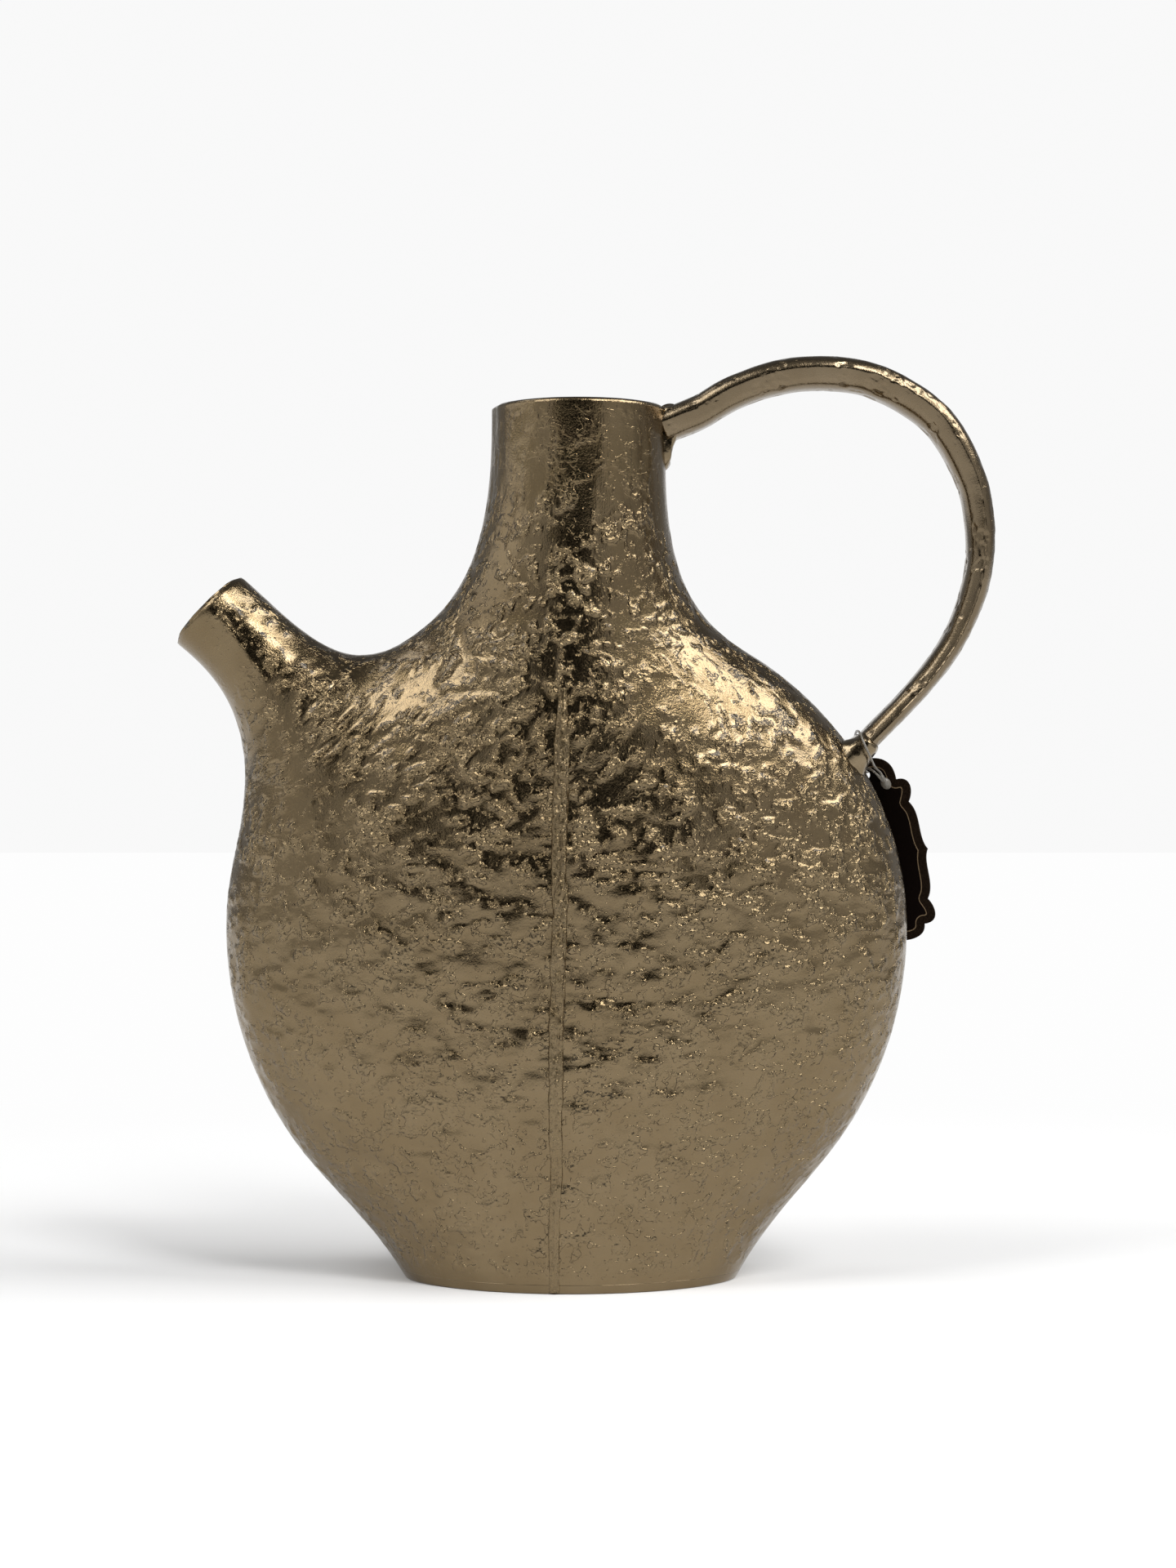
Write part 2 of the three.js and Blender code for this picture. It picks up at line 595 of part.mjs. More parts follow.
// Thread: a round open run with its two ends inside the lock head
function threadGeometry(foot, pivot) {
  const points = threadRoute(foot, pivot);
  const route = new THREE.CatmullRomCurve3(points, false, 'centripetal');
  const frames = route.computeFrenetFrames(THREAD_STEPS, false);
  const rings = [];
  for (let i = 0; i <= THREAD_STEPS; i++) {
    const ring = [];
    for (let k = 0; k < THREAD_SIDES; k++) {
      const turn = Math.PI * 2 * k / THREAD_SIDES;
      const p = route.getPointAt(i / THREAD_STEPS);
      p.addScaledVector(frames.normals[i], THREAD_RADIUS * Math.cos(turn));
      p.addScaledVector(frames.binormals[i], THREAD_RADIUS * Math.sin(turn));
      ring.push(p);
    }
    rings.push(ring);
  }
  return loft(rings);
}

// Lock head: the round-ended clip that both ends of the thread snap into
function lockGeometry(foot, pivot) {
  const points = threadRoute(foot, pivot);
  const lock = new THREE.CapsuleGeometry(LOCK_RADIUS, LOCK_LENGTH - 2 * LOCK_RADIUS, 3, 10);
  const way = points[0].clone().sub(points[1]).normalize();
  lock.applyQuaternion(new THREE.Quaternion().setFromUnitVectors(new THREE.Vector3(0, 1, 0), way));
  const middle = points[0].clone().add(points[points.length - 1]).multiplyScalar(0.5);
  lock.translate(middle.x, middle.y, middle.z);
  return lock;
}

function named(name, geometry, finish) {
  const mesh = new THREE.Mesh(geometry, new THREE.MeshStandardMaterial(finish));
  mesh.name = name;
  return mesh;
}

const outerSkin = skin(0, PLATE_THICKNESS, RIM_Z, OUTER_FINENESS);
const innerSkin = skin(WALL, PLATE_THICKNESS, RIM_Z, 1);
const frontHalf = halfWall(hollowed(outerSkin, 0), innerSkin);
const backHalf = mirrored(halfWall(hollowed(outerSkin, Math.PI * 2 / 3), innerSkin));
const ribbedHalf = toGeometry(toSolid(frontHalf).add(toSolid(ribGeometry())));

const clearSkin = skin(-SEAT_GAP, PLATE_THICKNESS, RIM_Z + SEAT_GAP, OUTER_FINENESS);
const clearFront = closedHalf(clearSkin);
const clearance = toSolid(clearFront).add(toSolid(mirrored(clearFront)));

// What is left of a solid outside the jug's skin, without slivers
function outsideOnly(solid, ...others) {
  const cut = others.reduce((rest, other) => rest.subtract(other), solid.subtract(clearance));
  return cut.decompose().sort((a, b) => b.volume() - a.volume())[0];
}

const route = handleRoute();
const routeStart = route.points[0];
const routeFoot = route.points[route.points.length - 1];
const handle = outsideOnly(toSolid(band(route, 0)));
const handleRoom = toSolid(band(route, SEAT_GAP));
const boss = outsideOnly(toSolid(bossGeometry(routeFoot)), handleRoom);
const gusset = outsideOnly(toSolid(gussetGeometry(routeStart)), handleRoom);
const bead = outsideOnly(toSolid(beadGeometry()), handleRoom);
const pivot = tagPivot(routeFoot);
const thread = toSolid(threadGeometry(routeFoot, pivot)).add(toSolid(lockGeometry(routeFoot, pivot)));

const jug = new THREE.Group();
jug.add(named('front_shell', ribbedHalf, castFinish));
jug.add(named('back_shell', backHalf, castFinish));
jug.add(named('base_plate', basePlate(), baseFinish));
jug.add(named('handle', toGeometry(handle), bandFinish));
jug.add(named('handle_boss', toGeometry(boss), castFinish));
jug.add(named('handle_gusset', toGeometry(gusset), weldFinish));
jug.add(named('rim_weld', toGeometry(bead), weldFinish));
jug.add(named('tag_card', tagGeometry(pivot), tagFinish));
jug.add(named('tag_thread', toGeometry(thread), threadFinish));

export default jug;
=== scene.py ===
import json
import math

import bmesh
import bpy
import numpy as np
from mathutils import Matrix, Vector
from mathutils.geometry import tessellate_polygon


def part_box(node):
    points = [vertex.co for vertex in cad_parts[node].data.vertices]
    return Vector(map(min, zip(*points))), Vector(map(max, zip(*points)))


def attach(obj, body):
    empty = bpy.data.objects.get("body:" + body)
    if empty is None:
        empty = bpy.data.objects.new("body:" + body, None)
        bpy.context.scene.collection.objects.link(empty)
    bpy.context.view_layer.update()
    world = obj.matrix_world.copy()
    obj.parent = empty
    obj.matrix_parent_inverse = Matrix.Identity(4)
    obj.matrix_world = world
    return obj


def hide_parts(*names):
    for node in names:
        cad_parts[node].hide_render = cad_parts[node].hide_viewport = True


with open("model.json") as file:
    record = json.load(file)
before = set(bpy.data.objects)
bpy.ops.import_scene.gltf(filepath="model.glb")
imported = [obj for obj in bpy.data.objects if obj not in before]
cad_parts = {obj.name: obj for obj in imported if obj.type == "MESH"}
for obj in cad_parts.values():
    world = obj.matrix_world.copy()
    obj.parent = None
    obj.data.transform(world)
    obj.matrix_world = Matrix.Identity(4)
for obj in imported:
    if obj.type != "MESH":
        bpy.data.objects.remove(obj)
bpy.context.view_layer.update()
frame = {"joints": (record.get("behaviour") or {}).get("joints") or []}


# Camera: level, a little above the middle of the jug, about a metre in front of the side seam plane,
# so that the foot shows its front edge and the rim its underside.
PHOTO_WIDTH, PHOTO_HEIGHT = 1440, 1920
PIXELS_PER_METRE = 3620.0
SEAM_CENTRE_PIXEL = (697.0, 1562.0)
CAMERA_DISTANCE = 0.975
SENSOR_HEIGHT = 36.0

view_height = PHOTO_HEIGHT / PIXELS_PER_METRE
camera_data = bpy.data.cameras.new("photo_camera")
camera_data.sensor_fit = "VERTICAL"
camera_data.sensor_height = SENSOR_HEIGHT
camera_data.lens = SENSOR_HEIGHT * CAMERA_DISTANCE / view_height
camera = bpy.data.objects.new("photo_camera", camera_data)
camera.location = (
    (PHOTO_WIDTH / 2 - SEAM_CENTRE_PIXEL[0]) / PIXELS_PER_METRE,
    -CAMERA_DISTANCE,
    (SEAM_CENTRE_PIXEL[1] - PHOTO_HEIGHT / 2) / PIXELS_PER_METRE,
)
camera.rotation_euler = (math.pi / 2, 0.0, 0.0)
bpy.context.scene.collection.objects.link(camera)
bpy.context.scene.camera = camera
bpy.context.scene.view_settings.view_transform = "Standard"


# Front and back castings: two sand-cast halves of the body, neck and spout, welded on the side seam
# and ground flush there. Their faces are left rough from the mould and buffed on the high spots.
BELLY_HALF_WIDTH, BELLY_RISE, BELLY_DROP = 0.115, 0.1094, 0.120
BELLY_X, BELLY_Z, BELLY_HALF_DEPTH = -0.0009, 0.118, 0.046
NECK_RADIUS, NECK_X, NECK_BLEND, NECK_BLEND_SPOUT_SIDE = 0.0294, 0.0032, 2780e-6, 3500e-6
FOOT_HALF_WIDTH, FOOT_HALF_DEPTH, FOOT_X, FOOT_BLEND = 0.0395, 0.0316, 0.0011, 4040e-6
SPOUT_RADIUS, SPOUT_REACH, SPOUT_BLEND, SPOUT_BEND = 0.0156, 0.060, 2165e-6, 4.1
SPOUT_MOUTH, SPOUT_ROOT = np.array([-0.1225, 0.2257]), np.array([-0.0858, 0.1930])
SPOUT_ANGLE, SPOUT_CUT_ANGLE, SPOUT_ROOT_ANGLE = math.radians(38.6), math.radians(44), math.radians(41)
WALL = 0.0032
RIM_ROUNDING, MOUTH_ROUNDING = 0.0012, 0.0020
HOLLOW_DEPTH, HOLLOW_PITCH, HOLLOW_RUN_OUT = 0.0008, 0.026, 0.018
HOLLOW_START, HOLLOW_FULL = 0.012, 0.024
HOLLOW_TURN, NECK_HOLLOW_LESS = {1: 0.0, -1: 2 * math.pi / 3}, 0.75
HOLLOW_FADE = 0.130, 0.190
RIM_Z = float(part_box("front_shell")[1][2])
FLOOR_Z = float(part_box("front_shell")[0][2])
ROWS_BELOW, ROWS_AT_SPOUT, ROWS_ABOVE = 192, 40, 112
COLUMNS, SPOUT_STEPS = 264, 40
VALLEY_EASE, EDGE_ROW = 0.2, 0.00015
INNER_SHARE = 8
FINE_SAMPLES = 240
HALVINGS = 44
WARP_CELL, ISLAND_CELL, WORM_CELL, LUMP_CELL, WORN_CELL = 0.0046, 0.0040, 0.0050, 0.0031, 0.022
ISLAND_HEIGHT, ISLAND_LUMPS, RELIEF_SINK = 0.00038, 0.0008, 0.0005
WAVE_CELL, WAVE_HEIGHT, WAVE_LOW, WAVE_MIDDLE = 0.0065, 0.00025, 0.0007, 0.0006
FLUTE_CELL, FLUTE_HEIGHT = 0.0055, 0.0006
LOW_ZONE, NECK_ZONE, BARE_ZONE, WORN_ZONE = (0.06, 0.15), (0.235, 0.262), (0.222, 0.262), (0.240, 0.274)
MIDDLE_Z, MIDDLE_TALL, SPOUT_ZONE = 0.098, 0.030, (0.022, 0.040)
BUFFED_X, BUFFED_Z, BUFFED_WIDE, BUFFED_TALL = 0.036, 0.197, 0.024, 0.020
CAST_GROUND, CAST_CREST, RIB_CREST = (0.185, 0.134, 0.071), (0.22, 0.164, 0.092), (0.22, 0.165, 0.093)
RIDGE_START, RIDGE_SLOPE, RIDGE_WIDTH, RIDGE_HEIGHT, RIDGE_CELL = 0.0012, 0.10, 0.0014, 0.0006, 0.006


def blend(a, b, softness):
    """The larger of two squared depths, with a cubic rounding where they are nearly equal."""
    h = np.maximum(softness - np.abs(a - b), 0) / softness
    return np.maximum(a, b) + h**3 * softness / 6


def smooth_step(low, high, value):
    """0 below low, 1 above high, and the cubic 3tt - 2ttt between."""
    t = np.clip((value - low) / (high - low), 0, 1)
    return t * t * (3 - 2 * t)


def spout_place(x, z):
    """Distance along the spout from its mouth, and off its axis, which bends with the square of it."""
    dx, dz = x - SPOUT_MOUTH[0], z - SPOUT_MOUTH[1]
    along = dx * math.cos(SPOUT_ANGLE) - dz * math.sin(SPOUT_ANGLE)
    off = dx * math.sin(SPOUT_ANGLE) + dz * math.cos(SPOUT_ANGLE)
    return along, off + SPOUT_BEND * along**2


def squared_depth(x, z, inset):
    """Squared half depth of the jug over a point of the seam plane: an oval belly, a round neck, an
    oval foot column and a round spout, each with its skin moved in by inset, blended together."""
    rise = np.where(z > BELLY_Z, BELLY_RISE, BELLY_DROP) - inset
    belly = (BELLY_HALF_DEPTH - inset) ** 2 * (
        1 - ((x - BELLY_X) / (BELLY_HALF_WIDTH - inset)) ** 2 - ((z - BELLY_Z) / rise) ** 2
    )
    into_belly = np.maximum(BELLY_Z + BELLY_RISE * 0.68 - z, 0)
    neck = (NECK_RADIUS - inset) ** 2 - (x - NECK_X) ** 2 - into_belly**2
    foot = (FOOT_HALF_DEPTH - inset) ** 2 * (1 - ((x - FOOT_X) / (FOOT_HALF_WIDTH - inset)) ** 2)
    foot = foot - np.maximum(z - BELLY_Z / 2, 0) ** 2
    along, off = spout_place(x, z)
    spout = (SPOUT_RADIUS - inset) ** 2 - off**2 - np.maximum(along - SPOUT_REACH, 0) ** 2
    spout_side = smooth_step(-NECK_RADIUS, NECK_RADIUS, NECK_X - x)
    neck_blend = NECK_BLEND + (NECK_BLEND_SPOUT_SIDE - NECK_BLEND) * spout_side
    return blend(blend(blend(belly, neck, neck_blend), foot, FOOT_BLEND), spout, SPOUT_BLEND)


def lip_inset(x, z, inset, sign):
    """How far the skin is rounded in near the rim and the spout's mouth: a quarter circle at each,
    outwards on the outer skin and inwards on the inner one."""
    dx, dz = x - SPOUT_MOUTH[0], z - SPOUT_MOUTH[1]
    from_cut = dx * math.cos(SPOUT_CUT_ANGLE) - dz * math.sin(SPOUT_CUT_ANGLE)
    off = dx * math.sin(SPOUT_CUT_ANGLE) + dz * math.cos(SPOUT_CUT_ANGLE)
    from_mouth = np.where(np.abs(off) < 3 * SPOUT_RADIUS, np.maximum(from_cut, 0), 1.0)
    mouth_size = MOUTH_ROUNDING if sign > 0 else RIM_ROUNDING
    for distance, size in ((np.maximum(RIM_Z - z, 0), RIM_ROUNDING), (from_mouth, mouth_size)):
        reach = np.clip(1 - distance / size, 0, 1)
        inset = inset + sign * size * (1 - np.sqrt(np.maximum(1 - reach**2, 0)))
    return inset


def seam_points(inner, outer, inset, sign):
    """Where the depth falls to nothing on straight lines from inner to outer points, by halving."""
    low, high = np.zeros(len(inner)), np.ones(len(inner))
    for _ in range(HALVINGS):
        mid = (low + high) / 2
        p = inner + (outer - inner) * mid[:, None]
        inside = squared_depth(p[:, 0], p[:, 1], lip_inset(p[:, 0], p[:, 1], inset, sign)) > 0
        low, high = np.where(inside, mid, low), np.where(inside, high, mid)
    return inner + (outer - inner) * low[:, None]


def front_y(x, z, inset, sign):
    """The front face's y, exactly 0 on the seam."""
    depth = np.sqrt(np.maximum(squared_depth(x, z, lip_inset(x, z, inset, sign)), 0))
    return np.where(depth < 1e-5, 0.0, -depth)


def skin_rows(a, b, count, inset, sign):
    """Points of the front skin over the lines from a to b, count steps apart by equal arc length."""
    share = (1 - np.cos(np.linspace(0, math.pi, FINE_SAMPLES))) / 2
    xz = a[:, None, :] + (b - a)[:, None, :] * share[None, :, None]
    y = front_y(xz[..., 0], xz[..., 1], inset, sign)
    fine = np.stack([xz[..., 0], y, xz[..., 1]], axis=-1)
    run = np.linalg.norm(np.diff(fine, axis=1), axis=2).cumsum(axis=1)
    run = np.concatenate([np.zeros((len(a), 1)), run], axis=1)
    goals = np.linspace(0, 1, count + 1)
    at = np.stack([np.interp(goals * r[-1], r, share) for r in run])
    xz = a[:, None, :] + (b - a)[:, None, :] * at[..., None]
    y = front_y(xz[..., 0], xz[..., 1], inset, sign)
    y[:, 0] = np.where(np.abs(y[:, 0]) < 2e-4, 0.0, y[:, 0])
    y[:, -1] = 0.0
    return np.stack([xz[..., 0], y, xz[..., 1]], axis=-1)


def half_skin(inset, sign, share):
    """The front skin as level rows from the foot to the rim and rows along the spout that end on
    their left ends, with 1 / share of the full number of steps."""
    below, at_spout, above = ROWS_BELOW // share, ROWS_AT_SPOUT // share, ROWS_ABOVE // share
    columns, spout_steps = COLUMNS // share, SPOUT_STEPS // share
    s = np.linspace(0, 1, spout_steps + 1)
    centre = SPOUT_MOUTH + (SPOUT_ROOT - SPOUT_MOUTH) * s[:, None]
    angle = SPOUT_CUT_ANGLE + (SPOUT_ROOT_ANGLE - SPOUT_CUT_ANGLE) * s
    half_cut = SPOUT_RADIUS * (1.3 + 1.2 * s)
    side = np.stack([np.sin(angle), np.cos(angle)], axis=1) * half_cut[:, None]
    lower = seam_points(centre, centre - side, inset, sign)
    upper = seam_points(centre, centre + side, inset, sign)
    spout = skin_rows(lower, upper, at_spout, inset, sign)
    spout[:, 0, 1] = 0.0
    spout[:, -1, 1] = 0.0
    root = spout[-1]
    step = np.linspace(0, 1, above + 1)
    climb = step**2 * (1 + VALLEY_EASE) / (step + VALLEY_EASE)
    z_below = np.linspace(FLOOR_Z, root[0, 2], below + 1)[:-1]
    z_below[1] = FLOOR_Z + EDGE_ROW
    z = np.concatenate([
        z_below,
        np.linspace(root[0, 2], root[-1, 2], at_spout + 1),
        root[-1, 2] + (RIM_Z - root[-1, 2]) * climb[1:],
    ])
    middle = np.stack([np.full(len(z), NECK_X), z], axis=1)
    outside_x = 1.5 * BELLY_HALF_WIDTH
    reach = np.where(z > root[-1, 2], root[-1, 0], -outside_x)
    left = seam_points(middle, np.stack([reach, z], axis=1), inset, sign)
    left[below:below + at_spout + 1] = root[:, [0, 2]]
    right = seam_points(middle, np.stack([np.full(len(z), outside_x), z], axis=1), inset, sign)
    rows = skin_rows(left, right, columns, inset, sign)
    rows[below:below + at_spout + 1, 0] = root
    rows[:below, 0, 1] = 0.0
    rows[below + at_spout:, 0, 1] = 0.0
    return rows, spout


def lattice_noise(points, cell, seed):
    """Smooth noise from 0 to 1: random values on a cubic lattice of that cell, blended between."""
    p = points / cell
    low = np.floor(p).astype(np.int64)
    t = p - low
    t = t * t * t * (t * (6 * t - 15) + 10)
    total = np.zeros(len(p))
    for corner in range(8):
        step = np.array([corner & 1, corner >> 1 & 1, corner >> 2 & 1])
        key = (low + step).astype(np.uint64)
        mixed = key[:, 0] * np.uint64(0x9E3779B97F4A7C15) ^ key[:, 1] * np.uint64(0xC2B2AE3D27D4EB4F)
        mixed ^= key[:, 2] * np.uint64(0x165667B19E3779F9) ^ np.uint64(seed * 7919 + 17)
        mixed ^= mixed >> np.uint64(29)
        mixed *= np.uint64(0xBF58476D1CE4E5B9)
        mixed ^= mixed >> np.uint64(32)
        value = (mixed & np.uint64(0xFFFFFF)).astype(float) / 0xFFFFFF
        total += value * np.prod(np.where(step, t, 1 - t), axis=1)
    return total


def fractal_noise(points, cell, octaves, seed):
    """Lattice noise added to itself at half the size and half the strength, octaves times."""
    total, weight, sum_weight = np.zeros(len(points)), 1.0, 0.0
    for octave in range(octaves):
        total += weight * lattice_noise(points, cell / 2**octave, seed + octave)
        sum_weight += weight
        weight *= 0.55
    return total / sum_weight


def noise_over(points, cell, octaves, seed):
    """Fractal noise moved to lie about zero, over a grid of points and in the grid's shape."""
    values = fractal_noise(points.reshape(-1, 3), cell, octaves, seed)
    return values.reshape(points.shape[:-1]) - 0.5


def hollows(x, y, z, turn):
    """How far the face is drawn in by shallow hollows: the product of two crossed sine waves, each
    bent by a slower one, faded out towards the seam, the foot and the rim."""
    cycle = 2 * math.pi / HOLLOW_PITCH
    across = np.sin(cycle * x + 1.2 * np.sin(cycle * z / 1.7 + turn))
    up = np.sin(cycle * z / 0.8 + 1.2 * np.sin(cycle * x / 1.5 - turn))
    fade = smooth_step(HOLLOW_START, HOLLOW_FULL, np.abs(y))
    fade = fade * smooth_step(0, HOLLOW_RUN_OUT, z - FLOOR_Z)
    fade = fade * smooth_step(0, HOLLOW_RUN_OUT, RIM_Z - z)
    depth = HOLLOW_DEPTH * (1 - NECK_HOLLOW_LESS * smooth_step(*HOLLOW_FADE, z))
    return depth * fade * (1 + across * up) / 2


def cast_relief(p):
    """Height of the mould texture, how near each point is to a raised island (0.5 at its edge) and
    how sharp the texture is there. The height is the islands' lumpy tops times the sharpness, plus
    slow waves, flutes up the neck and a ridge along the spout. The islands fade at the ground seam,
    the rim, the foot and the spout's underside, and are buffed down below."""
    stretched = p * np.array([0.92, 1.0, 1.12])
    warp = np.stack([noise_over(stretched, WARP_CELL, 3, 31 + 5 * k) for k in range(3)], axis=1)
    field = noise_over(stretched + warp * 0.005, ISLAND_CELL, 3, 3)
    worms = 0.17 - np.abs(2 * fractal_noise(stretched + warp * 0.004, WORM_CELL, 2, 71) - 1)
    worn = noise_over(p, WORN_CELL, 2, 51)
    bare = 0.10 * smooth_step(*BARE_ZONE, p[:, 2])
    island = np.clip(0.42 - bare + (0.7 * field + 0.8 * worms + 0.2 * worn) / 0.26, 0, 1)
    lumps = noise_over(p + warp * 0.002, LUMP_CELL, 2, 131)
    low = 1 - smooth_step(*LOW_ZONE, p[:, 2])
    middle = np.exp(-(((p[:, 2] - MIDDLE_Z) / MIDDLE_TALL) ** 2))
    waves = noise_over(p * np.array([0.5, 1.0, 1.4]), WAVE_CELL, 3, 91)
    buffed_x, buffed_z = (p[:, 0] - BUFFED_X) / BUFFED_WIDE, (p[:, 2] - BUFFED_Z) / BUFFED_TALL
    buffed = np.exp(-(buffed_x**2) - (buffed_z**2))
    side = np.abs(p[:, 1])
    seam = smooth_step(0.0005, 0.009, side)
    neck_seam = smooth_step(0.008, 0.019, side)
    on_neck = smooth_step(*NECK_ZONE, p[:, 2])
    seam = seam + (neck_seam - seam) * on_neck * smooth_step(0.0, 0.01, p[:, 0])
    rim = smooth_step(0.0, 0.006, RIM_Z - p[:, 2])
    foot = smooth_step(0.0, 0.008, p[:, 2] - FLOOR_Z)
    along, off = spout_place(p[:, 0], p[:, 2])
    on_spout = 1 - smooth_step(*SPOUT_ZONE, along)
    ridge = RIDGE_START - RIDGE_SLOPE * along
    under = on_spout * (1 - smooth_step(-0.0016, 0.0004, off - ridge))
    mouth = smooth_step(0.001, 0.006, along)
    sharp = (1 - 0.42 * low) * (1 - 0.8 * smooth_step(*WORN_ZONE, p[:, 2])) * (1 - 0.6 * buffed)
    sharp = sharp * (0.12 + 0.88 * seam * rim * foot * mouth)
    sharp = sharp * (1 - 0.25 * on_spout) * (1 - 0.8 * under)
    height = smooth_step(0.25, 0.75, island) * (ISLAND_HEIGHT + ISLAND_LUMPS * lumps) * sharp
    waves = waves * (WAVE_HEIGHT + WAVE_LOW * low + WAVE_MIDDLE * middle) * (1 - 0.6 * on_neck)
    height = height + waves * seam * foot * (1 - 0.6 * on_spout)
    flutes = noise_over(p * np.array([1.0, 1.0, 0.2]), FLUTE_CELL, 2, 151)
    height = height + flutes * FLUTE_HEIGHT * on_neck * seam
    at_ridge = np.exp(-(((off - ridge) / RIDGE_WIDTH) ** 2)) * on_spout * mouth
    at_ridge = at_ridge * smooth_step(0.004, 0.012, side)
    height = height + at_ridge * RIDGE_HEIGHT * (0.6 + 0.8 * fractal_noise(p, RIDGE_CELL, 2, 221))
    return height - RELIEF_SINK * seam * foot, island, sharp


def raised(points, sign):
    """Front skin points drawn in by the hollows and moved out along their normals by the relief."""
    flat = points.reshape(-1, 3)
    x, z, e = flat[:, 0], flat[:, 2], 1e-5
    gx = (squared_depth(x + e, z, 0.0) - squared_depth(x - e, z, 0.0)) / (2 * e)
    gz = (squared_depth(x, z + e, 0.0) - squared_depth(x, z - e, 0.0)) / (2 * e)
    normal = np.stack([-gx, 2 * flat[:, 1], -gz], axis=1)
    normal /= np.linalg.norm(normal, axis=1)[:, None] + 1e-12
    height, island, sharp = cast_relief(flat * np.array([1.0, sign, 1.0]))
    normal[:, 1] = np.where(flat[:, 1] == 0.0, 0.0, normal[:, 1])
    level = (z <= FLOOR_Z + 1e-9) | (z >= RIM_Z - 1e-9)
    normal[:, 2] = np.where(level, 0.0, normal[:, 2])
    moved = flat + normal * height[:, None]
    moved[:, 1] += hollows(x, flat[:, 1], z, HOLLOW_TURN[sign])
    shape = points.shape[:-1]
    return moved.reshape(points.shape), island.reshape(shape), sharp.reshape(shape)


def skin_loop(rows_index, spout_index, share):
    """Vertex numbers round a skin's edge: foot, right seam, rim, left seam, spout and down again."""
    below, at_spout = ROWS_BELOW // share, ROWS_AT_SPOUT // share
    top = below + at_spout
    return np.concatenate([
        rows_index[0, :-1], rows_index[:-1, -1], rows_index[-1, :0:-1], rows_index[:top:-1, 0],
        spout_index[:0:-1, -1], spout_index[0, :0:-1], spout_index[:-1, 0], rows_index[below:0:-1, 0],
    ])


def grid_faces(index):
    """Quads of a grid of vertex numbers."""
    corners = [index[:-1, :-1], index[:-1, 1:], index[1:, 1:], index[1:, :-1]]
    return np.stack(corners, axis=-1).reshape(-1, 4)


def numbered(rows, spout, start, share):
    """Vertex numbers of both grids, which share the spout's root."""
    rows_index = start + np.arange(rows.shape[0] * rows.shape[1]).reshape(rows.shape[:2])
    first = start + rows_index.size
    below, at_spout = ROWS_BELOW // share, ROWS_AT_SPOUT // share
    spout_index = first + np.arange((spout.shape[0] - 1) * spout.shape[1]).reshape(-1, spout.shape[1])
    root = rows_index[below:below + at_spout + 1, 0]
    return rows_index, np.concatenate([spout_index, root[None, :]])


def mesh_object(name, points, quads, triangles, attributes=None):
    """A mesh object at the origin from arrays of points, quads and triangles."""
    mesh = bpy.data.meshes.new(name)
    mesh.from_pydata(points.tolist(), [], quads.tolist() + triangles.tolist())
    mesh.polygons.foreach_set("use_smooth", np.ones(len(mesh.polygons), dtype=bool))
    for title, values in (attributes or {}).items():
        layer = mesh.attributes.new(title, "FLOAT", "POINT")
        layer.data.foreach_set("value", values.astype(np.float32))
    mesh.update()
    made = bpy.data.objects.new(name, mesh)
    bpy.context.scene.collection.objects.link(made)
    return made


def half_casting(name, sign):
    """One half: a fine outer skin with its relief, a coarser inner skin, and the strip between their
    edges. sign is 1 for the front half and -1 for its mirror image."""
    rows, spout = half_skin(0.0, 1, 1)
    inner_rows, inner_spout = half_skin(WALL, -1, INNER_SHARE)
    rows_raised, *rows_values = raised(rows, sign)
    spout_raised, *spout_values = raised(spout, sign)
    outer = [rows_raised.reshape(-1, 3), spout_raised[:-1].reshape(-1, 3)]
    inner = [inner_rows.reshape(-1, 3), inner_spout[:-1].reshape(-1, 3)]
    points = np.concatenate(outer + inner)
    attributes = {}
    for title, on_rows, on_spout in zip(("island", "sharp"), rows_values, spout_values):
        values = np.concatenate([on_rows.ravel(), on_spout[:-1].ravel()])
        attributes[title] = np.concatenate([values, np.zeros(len(points) - len(values))])
    rows_index, spout_index = numbered(rows, spout, 0, 1)
    start = rows_index.size + spout_index[:-1].size
    inner_index, inner_spout_index = numbered(inner_rows, inner_spout, start, INNER_SHARE)
    quads = np.concatenate([
        grid_faces(rows_index), grid_faces(spout_index.T),
        grid_faces(inner_index)[:, ::-1], grid_faces(inner_spout_index.T)[:, ::-1],
    ])
    outside = skin_loop(rows_index, spout_index, 1)
    inside = skin_loop(inner_index, inner_spout_index, INNER_SHARE)
    k = np.arange(len(outside))
    near = (k + INNER_SHARE // 2) // INNER_SHARE % len(inside)
    fan = np.stack([outside[(k + 1) % len(outside)], outside, inside[near]], axis=1)
    j = np.arange(len(inside))
    mid = outside[(j * INNER_SHARE + INNER_SHARE // 2) % len(outside)]
    step = np.stack([mid, inside[j], inside[(j + 1) % len(inside)]], axis=1)
    triangles = np.concatenate([fan, step])
    if sign < 0:
        points = points * np.array([1.0, -1.0, 1.0])
        quads, triangles = quads[:, ::-1], triangles[:, ::-1]
    made = mesh_object(name, points, quads, triangles, attributes)
    made.data.polygons.foreach_set("use_smooth", np.arange(len(made.data.polygons)) < len(quads))
    return made


RANGE_ENDS = ("From Min", "From Max", "To Min", "To Max")


def new_finish(name):
    """A new material with its nodes, its links and its shader."""
    material = bpy.data.materials.new(name)
    material.use_nodes = True
    nodes = material.node_tree.nodes
    return material, nodes, material.node_tree.links, nodes["Principled BSDF"]


